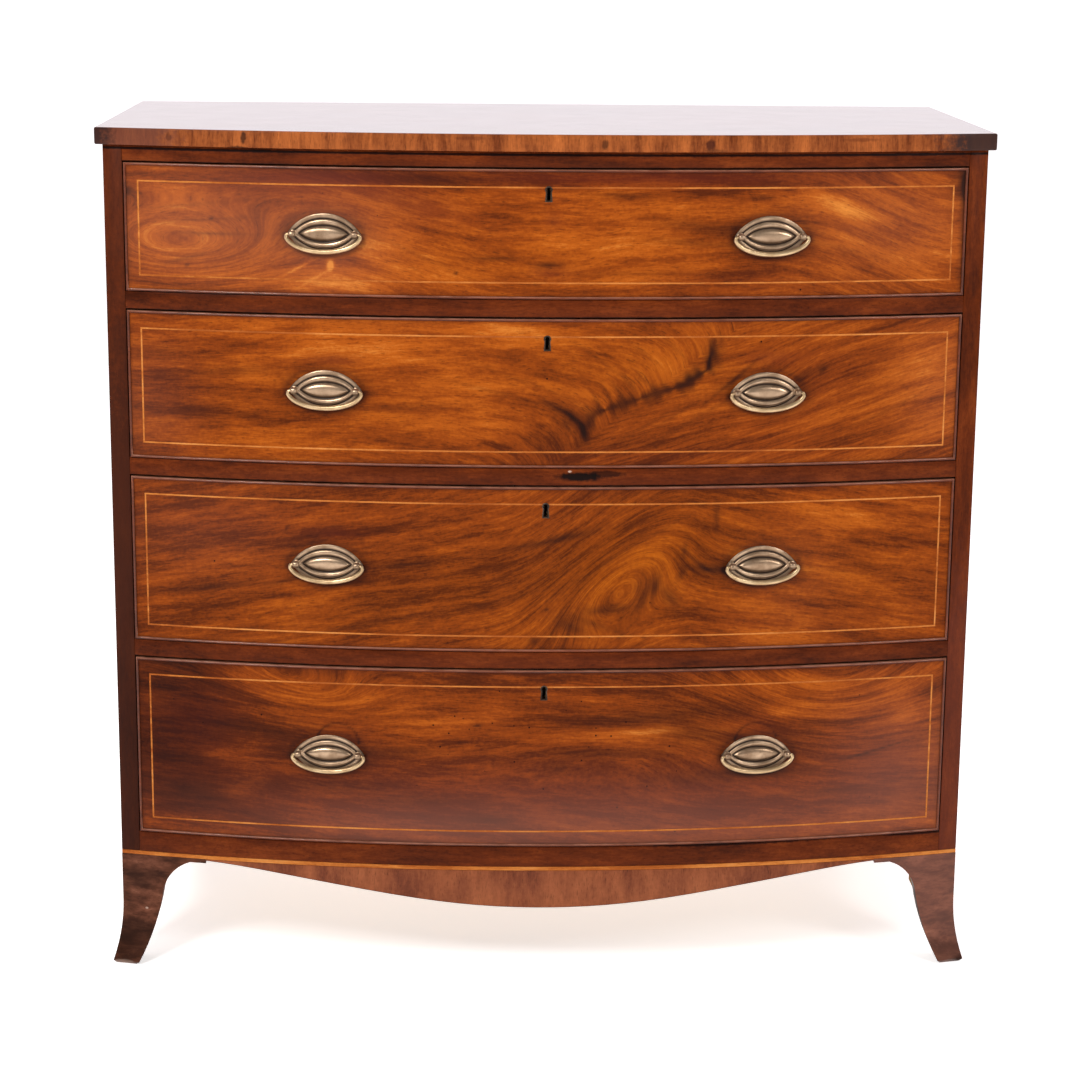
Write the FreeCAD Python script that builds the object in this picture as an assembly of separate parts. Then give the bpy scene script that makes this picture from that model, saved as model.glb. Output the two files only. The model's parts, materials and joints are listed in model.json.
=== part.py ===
import FreeCAD, Part
import math
import os

# A bow front chest of four long drawers, in millimetres. +X is the chest's right as seen from the
# front, +Y runs to the back, +Z is up. The origin is on the floor, under the middle of the chest.

# --- The case -------------------------------------------------------------------------------
case_width = 1040.0
case_depth = 456.0            # front corners of the case to its back
bow_rise = 65.0               # how far the middle of the front stands before its corners
side_thickness = 23.0
top_thickness = 20.0
top_overhang = 8.5            # at the front and both ends; the back is flush
top_edge_bevel = 1.2
base_height = 141.5           # floor to the underside of the case
line_height = 5.0             # boxwood line above the apron
line_depth = 2.0
bottom_rail_height = 26.0     # above the line
rail_height = 21.0
top_rail_height = 19.0
opening_heights = (152.5, 179.0, 204.0, 225.0)    # drawers 1 to 4, from the top

# --- Rails, runners and boards inside the case -------------------------------------------------
rail_back = 50.0              # back edge of a rail, behind the front corners
bottom_rail_back = 30.0
top_back_rail_depth = 50.0
housing_depth = 6.0           # how far rails, runners and the bottom enter the sides
housing_setback = 12.0        # where the housings stop, behind the front corners
runner_width = 40.0
dustboard_thickness = 6.0
dustboard_tongue = 6.0
bottom_thickness = 18.0
back_board_thickness = 12.0
back_rebate = 11.0
back_board_count = 5
back_board_gap = 1.0
stop_offset = 330.0           # drawer stops, each side of the middle
stop_width = 40.0
stop_depth = 25.0
stop_height = 5.0
stop_gap = 0.3                # curved stop face to curved drawer front

# --- Base: aprons, bracket feet and blocks -----------------------------------------------------
bracket_length = 106.0        # from the outer face of the case to the end of a foot's bracket
bracket_drop = 5.0            # depth of the bracket at that end
bracket_flat = 20.0           # level part of the bracket before it curves down
knee = (64.0, 0.862)          # width of the foot, and the height there as a share of the base
shank = (51.5, 0.678)
ankle = (36.5, 0.283)
heel = (20.0, 0.025)
flare = 13.0                  # how far the toe stands out
flare_start = 80.0            # height above the floor where the flare begins
toe_bevel = 4.0
apron_end_drop = 2.0
apron_centre_drop = 48.0
apron_drops = ((383.0, 4.5), (308.0, 14.5), (210.0, 29.5), (135.0, 40.0), (60.0, 46.5))
side_apron_end_drop = 4.0
side_apron_centre_drop = 24.0
back_leaf_thickness = 20.0
back_leaf_length = 95.0
back_leaf_toe = 16.0
back_leaf_drop = 30.0
apron_block_offsets = (-150.0, 0.0, 150.0)
apron_block_length = 60.0
apron_block_height = 30.0
block_thickness = 25.0
side_block_drop = 16.0
corner_block_size = 26.0
corner_block_length = 53.5    # down from the underside of the case

# --- Drawers ---------------------------------------------------------------------------------
front_thickness = 24.0
lining_thickness = 10.0
side_clearance = 1.3
top_clearance = 1.4
front_bottom_clearance = 0.8
runner_clearance = 0.3
lining_drop = 4.0             # drawer sides end below the top of the front
back_drop = 8.0               # drawer back ends below the sides
drawer_back_gap = 12.0        # behind the closed drawer
lap_thickness = 11.0          # wood left before the dovetails
tail_pitch = 70.0
tail_narrow = 24.0            # height of a dovetail at its root
tail_slope = 1.0 / 7.0
drawer_bottom_thickness = 6.0
drawer_bottom_height = 12.0   # above the lower edge of the drawer sides
groove_depth = 5.0

# --- Cockbeads -------------------------------------------------------------------------------
bead_thickness = 3.0
bead_rebate = 9.0             # depth of the rebates for the upright beads
bead_stand = 2.5              # how far the nose stands before the face

# --- Handles ---------------------------------------------------------------------------------
handle_offset = 260.0
handle_heights = (73.0, 89.0, 104.0, 113.0)       # centre above the drawer's lower edge
round_sides = 6               # sides that stand for a small circle in the repeated brass
oval_runs = 6                 # straight runs in each half of an oval; even, so its top is a corner
inner_oval_runs = 4           # and of the dish and the boss
plate_oval = (43.5, 24.0)     # half length and half height, pointed at the ends
plate_thickness = 1.2
band_oval = (40.2, 21.6)
band_height = 1.5             # above the plate
band_taper = 0.95
dish_oval = (32.0, 13.6)
boss_oval = (28.5, 10.4)
boss_height = 1.7
boss_taper = 0.82
post_offset = 36.5
seat_size = 9.0               # square pad under each knuckle
shank_size = 4.8
shank_clearance = 0.1
knuckle_radius = 4.1
knuckle_length = 7.4
knuckle_height = 7.4          # pivot line above the drawer's face
nut_size = 12.0
nut_height = 3.5
nut_gap = 0.05
pin_radius = 1.6
pin_clearance = 0.05
pin_inner = 32.4              # the pins run from here to beside the knuckles
pin_outer = 41.3
bail_oval = (44.4, 22.6, 16.0)                    # half length, drop, radius of the shoulders
bail_end_radius = 2.1
bail_middle_radius = 2.9
bail_sides = 6
bail_shoulder_steps = 2
bail_bow_steps = 4

# --- Locks -----------------------------------------------------------------------------------
keyhole_drop = 28.0           # centre of the keyhole below the top of the drawer
key_radius = 2.1
key_slot_width = 3.4
key_slot_length = 15.0
escutcheon_rim = 2.0
escutcheon_depth = 6.0
lock_width = 60.0
lock_height = 50.0
selvedge_width = 76.0
selvedge_thickness = 2.0
lock_thickness = 13.5
lock_stand = 0.6              # how far the case stands out of the front's bowed inside
lock_wall = 3.0
bolt_width = 26.0
bolt_thickness = 6.0
bolt_height = 16.0
bolt_drop = 0.5               # top of the drawn bolt below the selvedge
bolt_travel = 8.5
bolt_clearance = 0.3
keep_clearance = 1.0

# --- Worked out from the sizes above -----------------------------------------------------------
half_width = case_width / 2
inner_x = half_width - side_thickness
corner_y = -(case_depth - bow_rise - top_overhang) / 2
back_y = corner_y + case_depth
bow_radius = (half_width ** 2 + bow_rise ** 2) / (2 * bow_rise)
bow_centre_y = corner_y - bow_rise + bow_radius
face_y = corner_y - bow_rise
board_y = back_y - back_board_thickness
bracket_x = half_width - bracket_length
case_floor = base_height + line_height + bottom_rail_height
bottom_underside = case_floor - bottom_thickness
drawer_half_width = inner_x - side_clearance
lining_x = drawer_half_width - lining_thickness
drawer_end_y = board_y - drawer_back_gap
handle_angle = math.degrees(math.asin(handle_offset / bow_radius))
lock_back_y = face_y + front_thickness + lock_stand
bolt_y = lock_back_y - lock_thickness / 2

openings = {}
level = case_floor
for drawer_number in (4, 3, 2, 1):
    opening_height = opening_heights[drawer_number - 1]
    openings[drawer_number] = (level, level + opening_height)
    level = level + opening_height + rail_height
case_top = openings[1][1] + top_rail_height
overall_height = case_top + top_thickness

V = FreeCAD.Vector
RIGHTWARD = V(1, 0, 0)
BACKWARD = V(0, 1, 0)
UPWARD = V(0, 0, 1)
ORIGIN = V(0, 0, 0)


# --- Geometry helpers --------------------------------------------------------------------------
def box(x0, x1, y0, y1, z0, z1):
    return Part.makeBox(x1 - x0, y1 - y0, z1 - z0, V(x0, y0, z0))


def line(start, end):
    return Part.LineSegment(start, end).toShape()


def polyline(points):
    return [line(a, b) for a, b in zip(points, points[1:])]


def arc(start, middle, end):
    return Part.Arc(start, middle, end).toShape()


def spline(points):
    curve = Part.BSplineCurve()
    curve.interpolate(points)
    return curve.toShape()


def filled(edges):
    return Part.Face(Part.Wire(Part.__sortEdges__(edges)))


def mirrored(shape):
    """The same piece on the other side of the chest."""
    return shape.mirror(ORIGIN, RIGHTWARD)


def group(shapes):
    return Part.makeCompound(shapes)


def on_bow(radius, x):
    """A point of the plan arc that is concentric with the bowed front."""
    return V(x, bow_centre_y - math.sqrt(radius ** 2 - x ** 2), 0)


def bow_arc(radius, x0, x1):
    return arc(on_bow(radius, x0), on_bow(radius, (x0 + x1) / 2), on_bow(radius, x1))


def bowed_board(x0, x1, radius, y_back, z0, z1):
    """A board with a bowed front edge and a straight back edge."""
    back = [on_bow(radius, x1), V(x1, y_back, 0), V(x0, y_back, 0), on_bow(radius, x0)]
    outline = filled([bow_arc(radius, x0, x1)] + polyline(back))
    outline.translate(V(0, 0, z0))
    return outline.extrude(V(0, 0, z1 - z0))


def bowed_panel(x0, x1, outer_radius, inner_radius, z0, z1):
    """A panel whose front and back faces are both bowed."""
    outline = filled([
        bow_arc(outer_radius, x0, x1),
        line(on_bow(outer_radius, x1), on_bow(inner_radius, x1)),
        bow_arc(inner_radius, x0, x1),
        line(on_bow(inner_radius, x0), on_bow(outer_radius, x0)),
    ])
    outline.translate(V(0, 0, z0))
    return outline.extrude(V(0, 0, z1 - z0))


def swept_round_bow(profile, x0, x1):
    """Turns a profile drawn at x = 0 round the bow's axis, from x0 to x1 on the case front."""
    axis = V(0, bow_centre_y, 0)
    start = math.degrees(math.asin(x0 / bow_radius))
    end = math.degrees(math.asin(x1 / bow_radius))
    turned = profile.copy()
    turned.rotate(axis, UPWARD, start)
    return turned.revolve(axis, UPWARD, end - start)


def rod(start, run, radius, sides):
    """A straight bar with flats on a circle of this radius, from start along run."""
    across = run.cross(UPWARD)
    across.normalize()
    points = []
    for index in range(sides + 1):
        angle = 2 * math.pi * (index + 0.5) / sides
        points.append(start + UPWARD * (radius * math.cos(angle)) + across * (radius * math.sin(angle)))
    return filled(polyline(points)).extrude(run)


def skinned(rings):
    """A solid with flat facets through rows of corners, as many in each ring, closed at its ends."""
    faces = [filled(polyline(ring + ring[:1])) for ring in (rings[0], rings[-1])]
    for near, far in zip(rings, rings[1:]):
        for index in range(len(near)):
            after = (index + 1) % len(near)
            faces.append(filled(polyline([near[index], near[after], far[after], near[index]])))
            faces.append(filled(polyline([near[index], far[after], far[index], near[index]])))
    shell = Part.Shell(faces)
    shell.sewShape()
    return Part.makeSolid(shell).removeSplitter()


def bore(start, run, radius):
    """The hole that a round bar of this radius just fits, whatever way it is turned."""
    return rod(start, run, radius / math.cos(math.pi / round_sides), round_sides)


# --- The case ------------------------------------------------------------------------------------
def make_base_line():
    return bowed_panel(-half_width, half_width, bow_radius, bow_radius - line_depth,
                       base_height, base_height + line_height)


def housed_levels():
    """Lower and upper heights of the housings that the sides hold."""
    levels = [(bottom_underside, case_floor), (openings[1][1], case_top)]
    for number in (1, 2, 3):
        floor = openings[number][0]
        levels.append((floor - rail_height, floor))
    return levels


def make_case_side():
    """The right side: bowed front edge, housings inside and a rebate for the back boards."""
    outline = [
        bow_arc(bow_radius, inner_x, half_width),
        *polyline([V(half_width, corner_y, 0), V(half_width, back_y, 0), V(inner_x, back_y, 0),
                   on_bow(bow_radius, inner_x)]),
    ]
    face = filled(outline)
    face.translate(V(0, 0, base_height))
    side = face.extrude(V(0, 0, case_top - base_height))
    cuts = [box(inner_x, inner_x + back_rebate, board_y, back_y, base_height, case_top),
            make_base_line()]
    for z0, z1 in housed_levels():
        cuts.append(box(inner_x, inner_x + housing_depth, corner_y + housing_setback, board_y,
                        z0, z1))
    return side.cut(group(cuts))


def make_top():
    """The top, bowed like the front, with its front and end edges eased."""
    reach = half_width + top_overhang
    top = bowed_board(-reach, reach, bow_radius + top_overhang, back_y, case_top, overall_height)
    eased = []
    for edge in top.Edges:
        middle = edge.valueAt((edge.FirstParameter + edge.LastParameter) / 2)
        is_level = edge.BoundBox.ZLength < top_edge_bevel
        if is_level and middle.y < back_y - top_edge_bevel:
            eased.append(edge)
    return top.makeChamfer(top_edge_bevel, eased)


def keep_mortise(number):
    """The mortise over a drawer that its lock bolt enters."""
    ceiling = openings[number][1]
    half_x = bolt_width / 2 + keep_clearance
    half_y = bolt_thickness / 2 + keep_clearance
    depth = bolt_travel - bolt_drop - top_clearance + keep_clearance
    return box(-half_x, half_x, bolt_y - half_y, bolt_y + half_y, ceiling, ceiling + depth)


def rail(z0, z1, y_back, tongue_z0):
    """A rail across the front with a tongue at each end for the side's housing."""
    body = bowed_board(-inner_x, inner_x, bow_radius, y_back, z0, z1)
    tongue_x = inner_x + housing_depth
    tongue = box(-tongue_x, tongue_x, corner_y + housing_setback, y_back, tongue_z0, z1)
    return body.fuse(tongue).removeSplitter()


def dustboard_slot(z0):
    """The board that lies halfway up the rail and runners over z0."""
    middle = z0 + rail_height / 2
    reach = inner_x - runner_width + dustboard_tongue
    front = corner_y + rail_back - dustboard_tongue
    return box(-reach, reach, front, board_y,
               middle - dustboard_thickness / 2, middle + dustboard_thickness / 2)


def make_drawer_rails():
    rails = []
    for number in (1, 2, 3):
        floor = openings[number][0]
        divider = rail(floor - rail_height, floor, corner_y + rail_back, floor - rail_height)
        divider = divider.cut(dustboard_slot(floor - rail_height))
        rails.append(divider.cut(keep_mortise(number + 1)))
    bottom_rail = rail(base_height, case_floor, corner_y + bottom_rail_back, bottom_underside)
    rails.append(bottom_rail.cut(make_base_line()))
    return group(rails)


def make_top_rails():
    floor = openings[1][1]
    front = rail(floor, case_top, corner_y + rail_back, floor).cut(keep_mortise(1))
    reach = inner_x + housing_depth
    back = box(-reach, reach, board_y - top_back_rail_depth, board_y, floor, case_top)
    return group([front, back])


def make_runners():
    """Runners behind the three dividing rails, and kickers over drawer 1."""
    pieces = []
    x0 = inner_x - runner_width
    x1 = inner_x + housing_depth
    front = corner_y + rail_back
    for number in (1, 2, 3):
        floor = openings[number][0]
        runner = box(x0, x1, front, board_y, floor - rail_height, floor)
        runner = runner.cut(dustboard_slot(floor - rail_height))
        pieces += [runner, mirrored(runner)]
    kicker = box(x0, x1, front, board_y - top_back_rail_depth, openings[1][1], case_top)
    pieces += [kicker, mirrored(kicker)]
    return group(pieces)


def make_dustboards():
    return group([dustboard_slot(openings[number][0] - rail_height) for number in (1, 2, 3)])


def make_case_bottom():
    reach = inner_x + housing_depth
    return box(-reach, reach, corner_y + bottom_rail_back, board_y, bottom_underside, case_floor)


def make_back_boards():
    """Upright boards, a little apart, in the rebates of the sides."""
    reach = inner_x + back_rebate
    gaps = (back_board_count - 1) * back_board_gap
    width = (2 * reach - gaps) / back_board_count
    boards = []
    for index in range(back_board_count):
        x0 = -reach + index * (width + back_board_gap)
        boards.append(box(x0, x0 + width, board_y, back_y, base_height, case_top))
    return group(boards)


def make_stops():
    """Two small blocks on the floor of each opening, set along the closed drawer's front."""
    radius = bow_radius - front_thickness - stop_gap
    angle = math.degrees(math.asin(stop_offset / radius))
    stops = []
    for number in openings:
        floor = openings[number][0]
        stop = box(-stop_width / 2, stop_width / 2, bow_centre_y - radius,
                   bow_centre_y - radius + stop_depth, floor, floor + stop_height)
        stop.rotate(V(0, bow_centre_y, 0), UPWARD, angle)
        stops += [stop, mirrored(stop)]
    return group(stops)


# --- The base ------------------------------------------------------------------------------------
def foot_outer_edge():
    """Outer edge of a foot, from the floor up, as (distance inside the case's face, height)."""
    rise = flare_start - toe_bevel
    radius = (rise ** 2 + flare ** 2) / (2 * flare)
    middle = radius - math.sqrt(radius ** 2 - (rise / 2) ** 2)
    toe = line(V(toe_bevel - flare, 0, 0), V(-flare, 0, toe_bevel))
    sweep = arc(V(-flare, 0, toe_bevel), V(-middle, 0, flare_start - rise / 2),
                V(0, 0, flare_start))
    return [toe, sweep, line(V(0, 0, flare_start), V(0, 0, base_height))]


def foot_section(thickness):
    """Upright section of a foot's leaf: flared outside, flat inside."""
    inside = polyline([V(0, 0, base_height), V(thickness, 0, base_height), V(thickness, 0, 0),
                       V(toe_bevel - flare, 0, 0)])
    return filled(foot_outer_edge() + inside)


def bracket_outline():
    """The bracket's shape as (distance inside the case's face, height), in two arcs inside."""
    flat_end = V(bracket_length - bracket_flat, 0, base_height - bracket_drop)
    bends = [V(width, 0, base_height * share) for width, share in (knee, shank, ankle, heel)]
    outside = -2 * flare
    rest = polyline([bends[3], V(heel[0] - toe_bevel, 0, 0), V(outside, 0, 0),
                     V(outside, 0, base_height), V(bracket_length, 0, base_height),
                     V(bracket_length, 0, base_height - bracket_drop), flat_end])
    return filled([arc(flat_end, bends[0], bends[1]), arc(bends[1], bends[2], bends[3])] + rest)


def facing_front(section, y0, y1):
    """Carries a base section to the right end of the front and runs it from y0 to y1."""
    placed = section.mirror(ORIGIN, RIGHTWARD)
    placed.translate(V(half_width, y0, 0))
    return placed.extrude(V(0, y1 - y0, 0))


def facing_side(section, towards_back):
    """Carries a base section to the right side's front, or to its back end, across the leaf."""
    placed = section.copy()
    placed.rotate(ORIGIN, UPWARD, 90)
    x0 = half_width - bracket_length
    placed.translate(V(x0, corner_y, 0))
    block = placed.extrude(V(bracket_length + 2 * flare, 0, 0))
    if towards_back:
        block = block.mirror(V(0, (corner_y + back_y) / 2, 0), BACKWARD)
    return block


def round_the_front(section):
    """Turns a base section round the bow, along the right foot's stretch of the front."""
    placed = section.copy()
    placed.rotate(ORIGIN, UPWARD, 90)
    placed.translate(V(0, face_y, 0))
    return swept_round_bow(placed, bracket_x - bracket_length, half_width + 2 * flare)


def front_of_mitre():
    """The space before the upright mitre plane of the right front foot."""
    reach = 2 * bracket_length
    corner = V(half_width, corner_y, 0)
    plan = [corner + V(bracket_length, -bracket_length, 0), corner + V(-bracket_length, bracket_length, 0),
            corner + V(-reach, bracket_length, 0), corner + V(-reach, -reach, 0),
            corner + V(bracket_length, -reach, 0), corner + V(bracket_length, -bracket_length, 0)]
    return filled(polyline(plan)).extrude(V(0, 0, base_height))


def make_front_feet():
    """Splayed bracket feet, each of a bowed front leaf and a side leaf, mitred at the corner."""
    deep = foot_section(bracket_length)
    leaf = foot_section(side_thickness)
    y_far = corner_y - 2 * flare - bow_rise
    front_leaf = round_the_front(leaf).common(facing_front(bracket_outline(), y_far, back_y))
    front_leaf = front_leaf.common(facing_front(deep, y_far, back_y))
    side_leaf = facing_front(leaf, y_far, corner_y + bracket_length)
    side_leaf = side_leaf.common(facing_side(bracket_outline(), False))
    side_leaf = side_leaf.common(round_the_front(foot_section(2 * bracket_length)))
    mitre = front_of_mitre()
    leaves = [front_leaf.common(mitre), side_leaf.cut(mitre)]
    return group(leaves + [mirrored(leaf) for leaf in leaves])


def make_back_feet():
    """Back feet: a bracket leaf at the side and a plain board across the back."""
    side_leaf = facing_front(foot_section(side_thickness), corner_y + bracket_length, back_y)
    side_leaf = side_leaf.common(facing_side(bracket_outline(), True))
    x1 = inner_x
    x0 = inner_x - back_leaf_length
    board = [V(x1, 0, base_height), V(x0, 0, base_height),
             V(x0, 0, base_height - back_leaf_drop), V(x1 - back_leaf_toe, 0, 0), V(x1, 0, 0),
             V(x1, 0, base_height)]
    back_leaf = filled(polyline(board))
    back_leaf.translate(V(0, back_y - back_leaf_thickness, 0))
    back_leaf = back_leaf.extrude(V(0, back_leaf_thickness, 0))
    leaves = [side_leaf, back_leaf]
    return group(leaves + [mirrored(leaf) for leaf in leaves])


def make_front_apron():
    """The bowed apron between the front feet, with a long drooping lower edge."""
    right = [V(bracket_x, 0, base_height - apron_end_drop)]
    right += [V(x, 0, base_height - drop) for x, drop in apron_drops]
    left = [V(-point.x, 0, point.z) for point in reversed(right)]
    lower_edge = right + [V(0, 0, base_height - apron_centre_drop)] + left
    rest = polyline([left[-1], V(-bracket_x, 0, base_height), V(bracket_x, 0, base_height), right[0]])
    shape = filled([spline(lower_edge)] + rest)
    shape.translate(V(0, face_y, 0))
    shape = shape.extrude(V(0, case_depth, 0))
    panel = bowed_panel(-bracket_x, bracket_x, bow_radius, bow_radius - side_thickness,
                        base_height - 2 * apron_centre_drop, base_height)
    return panel.common(shape)


def make_side_aprons():
    """Shallow curved aprons between the front and back feet of each side."""
    y0 = corner_y + bracket_length
    y1 = back_y - bracket_length
    end_z = base_height - side_apron_end_drop
    lower = arc(V(0, y0, end_z), V(0, (y0 + y1) / 2, base_height - side_apron_centre_drop),
                V(0, y1, end_z))
    rest = polyline([V(0, y1, end_z), V(0, y1, base_height), V(0, y0, base_height), V(0, y0, end_z)])
    apron = filled([lower] + rest)
    apron.translate(V(inner_x, 0, 0))
    apron = apron.extrude(V(side_thickness, 0, 0))
    return group([apron, mirrored(apron)])


def make_glue_blocks():
    """Pine blocks: behind the front apron, inside the side aprons and in the feet's corners."""
    blocks = []
    inner_radius = bow_radius - side_thickness
    for x in apron_block_offsets:
        blocks.append(bowed_panel(x - apron_block_length / 2, x + apron_block_length / 2, inner_radius,
                                  inner_radius - block_thickness, base_height - apron_block_height,
                                  base_height))
    y_span = back_y - corner_y - 2 * bracket_length
    for share in (0.25, 0.75):
        y_middle = corner_y + bracket_length + share * y_span
        block = box(inner_x - block_thickness, inner_x, y_middle - apron_block_length / 2,
                    y_middle + apron_block_length / 2, base_height - side_block_drop, bottom_underside)
        blocks += [block, mirrored(block)]
    x0 = inner_x - corner_block_size
    foot_z = base_height - corner_block_length
    inner_y = corner_y + side_thickness
    corner = bowed_board(x0, inner_x, inner_radius, inner_y + corner_block_size,
                         foot_z, base_height)
    back_block = box(x0, inner_x, back_y - back_leaf_thickness - corner_block_size,
                     back_y - back_leaf_thickness, foot_z, base_height)
    blocks += [corner, mirrored(corner), back_block, mirrored(back_block)]
    return group(blocks)


# --- Drawer joinery ----------------------------------------------------------------------------
def make_upright_bead(z0, z1):
    """The right-hand bead, in its rebate, mitred at both ends."""
    x1 = drawer_half_width
    x0 = x1 - bead_thickness
    outline = [V(x1, 0, z0), V(x1, 0, z1), V(x0, 0, z1 - bead_thickness),
               V(x0, 0, z0 + bead_thickness), V(x1, 0, z0)]
    mitred = filled(polyline(outline))
    mitred.translate(V(0, face_y - 2 * bead_stand, 0))
    bead = bowed_panel(x0, x1, bow_radius + bead_stand, bow_radius - bead_rebate, z0, z1)
    return bead.common(mitred.extrude(V(0, case_depth, 0)))


def make_cockbead(z0, z1):
    """Four beads round the front: upright ones in rebates, level ones the front's whole depth."""
    upright = make_upright_bead(z0, z1)
    uprights = [upright, mirrored(upright)]
    beads = list(uprights)
    for z in (z0, z1 - bead_thickness):
        level = bowed_panel(-drawer_half_width, drawer_half_width, bow_radius + bead_stand,
                            bow_radius - front_thickness, z, z + bead_thickness)
        beads.append(level.cut(group(uprights)))
    return beads


def tails(z0, z1, root_y, end_y):
    """Dovetails across a lining's thickness, widening from root_y to end_y."""
    count = max(2, round((z1 - z0) / tail_pitch))
    pitch = (z1 - z0) / count
    spread = abs(end_y - root_y) * tail_slope
    prisms = []
    for index in range(count):
        middle = z0 + (index + 0.5) * pitch
        half = tail_narrow / 2
        outline = [V(0, root_y, middle - half), V(0, root_y, middle + half),
                   V(0, end_y, middle + half + spread), V(0, end_y, middle - half - spread),
                   V(0, root_y, middle - half)]
        face = filled(polyline(outline))
        face.translate(V(-drawer_half_width, 0, 0))
        prisms.append(face.extrude(V(2 * drawer_half_width, 0, 0)))
    return group(prisms)


def keyhole(drawer_top, rim, y0, y1):
    """A keyhole standing on its slot, grown by rim, from y0 to y1."""
    centre_z = drawer_top - keyhole_drop
    half = key_slot_length / 2 + rim
    radius = key_radius + rim
    eye_z = centre_z + half - radius
    eye = rod(V(0, y0, eye_z), V(0, y1 - y0, 0), radius, round_sides)
    half_slot = key_slot_width / 2 + rim
    slot = box(-half_slot, half_slot, y0, y1, centre_z - half, eye_z)
    return eye.fuse(slot).removeSplitter()


def lock_bolt(drawer_top, grow):
    """The bolt at rest; grow gives the size of the slot that it slides in."""
    half_x = bolt_width / 2 + grow
    half_y = bolt_thickness / 2 + grow
    top = drawer_top - bolt_drop
    return box(-half_x, half_x, bolt_y - half_y, bolt_y + half_y, top - bolt_height, top)


def lock_body(drawer_top):
    """The lock's case and its selvedge, as the space that they fill in the drawer front."""
    y1 = lock_back_y
    y0 = y1 - lock_thickness
    case = box(-lock_width / 2, lock_width / 2, y0, y1, drawer_top - lock_height, drawer_top)
    selvedge = box(-selvedge_width / 2, selvedge_width / 2, y0, y1,
                   drawer_top - selvedge_thickness, drawer_top)
    return case.fuse(selvedge).removeSplitter()


def make_lock(drawer_top):
    """Lock case with a slot for its bolt and a keyway from the front."""
    y0 = lock_back_y - lock_thickness
    case = lock_body(drawer_top).cut(lock_bolt(drawer_top, bolt_clearance))
    mouth = box(-bolt_width / 2 - bolt_clearance, bolt_width / 2 + bolt_clearance,
                bolt_y - bolt_thickness / 2 - bolt_clearance,
                bolt_y + bolt_thickness / 2 + bolt_clearance,
                drawer_top - bolt_height, drawer_top)
    case = case.cut(mouth)
    return case.cut(keyhole(drawer_top, 0, y0, y0 + lock_thickness - lock_wall))


def make_escutcheon(drawer_top):
    """The rim round the keyhole, inlaid in the face."""
    rim = keyhole(drawer_top, escutcheon_rim, face_y, face_y + escutcheon_depth)
    return rim.cut(keyhole(drawer_top, 0, face_y, face_y + escutcheon_depth))


# --- Handles -------------------------------------------------------------------------------------
def on_front(shape, side, z):
    """Carries a shape made before the middle of the front to a handle's place."""
    placed = shape.copy()
    placed.rotate(V(0, bow_centre_y, 0), UPWARD, side * handle_angle)
    placed.translate(V(0, 0, z))
    return placed


def pointed_oval(size, y, runs):
    """Outline of two equal arcs that meet in points at the ends, y before the face."""
    half_length, half_height = size
    radius = (half_length ** 2 + half_height ** 2) / (2 * half_height)
    reach = math.asin(half_length / radius)
    upper = []
    for index in range(runs + 1):
        angle = reach * (2 * index / runs - 1)
        upper.append(V(radius * math.sin(angle), -y, half_height - radius + radius * math.cos(angle)))
    lower = [V(point.x, -y, -point.z) for point in reversed(upper)]
    return upper + lower[1:-1]


def oval(size, y, height, taper, runs):
    """A raised oval from y before the face, drawn in to a share of its size at its top."""
    drawn_in = (size[0] * taper, size[1] * taper)
    return skinned([pointed_oval(size, y, runs), pointed_oval(drawn_in, y + height, runs)])


def make_plate():
    """Stamped plate: flat rim, raised band, sunk dish with a boss, and pads for the posts."""
    band_top = plate_thickness + band_height
    plate = oval(plate_oval, 0, plate_thickness, 1, oval_runs)
    plate = plate.fuse(oval(band_oval, plate_thickness, band_height, band_taper, oval_runs))
    plate = plate.cut(oval(dish_oval, plate_thickness, band_height, 1, inner_oval_runs))
    plate = plate.fuse(oval(boss_oval, plate_thickness, boss_height, boss_taper, inner_oval_runs))
    half = seat_size / 2
    for side in (-1, 1):
        x = side * post_offset
        plate = plate.fuse(box(x - half, x + half, -band_top, 0, -half, half))
    return plate.removeSplitter().cut(shank_holes())


def shank_holes():
    """Square holes for a handle's two shanks, through the plate and the drawer front."""
    half = shank_size / 2 + shank_clearance
    return group([box(x - half, x + half, -front_thickness, 2 * front_thickness, -half, half)
                  for x in (-post_offset, post_offset)])


def nut_seat():
    """Distance from the handle's plane back to the nuts, clear of the front's bowed inside."""
    edge = on_bow(bow_radius - front_thickness, post_offset + nut_size / 2)
    return edge.y - face_y + nut_gap


def make_post():
    """Post with a knuckle bored crosswise for the bail's pin, a square shank and its nut."""
    half = shank_size / 2
    tail_end = nut_seat() + nut_height
    post = box(-half, half, -knuckle_height, tail_end, -half, half)
    half_nut = nut_size / 2
    nut = box(-half_nut, half_nut, nut_seat(), tail_end, -half_nut, half_nut)
    pivot = V(-knuckle_length / 2, -knuckle_height, 0)
    along = V(knuckle_length, 0, 0)
    knuckle = rod(pivot, along, knuckle_radius, round_sides)
    solid = post.fuse(nut).fuse(knuckle).removeSplitter()
    return solid.cut(bore(pivot, along, pin_radius + pin_clearance))


def make_fitting():
    """A plate with both of its posts and their nuts, before the middle of the front."""
    pieces = [make_plate()]
    for side in (-1, 1):
        post = make_post()
        post.translate(V(side * post_offset, 0, 0))
        pieces.append(post)
    return group(pieces)


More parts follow.
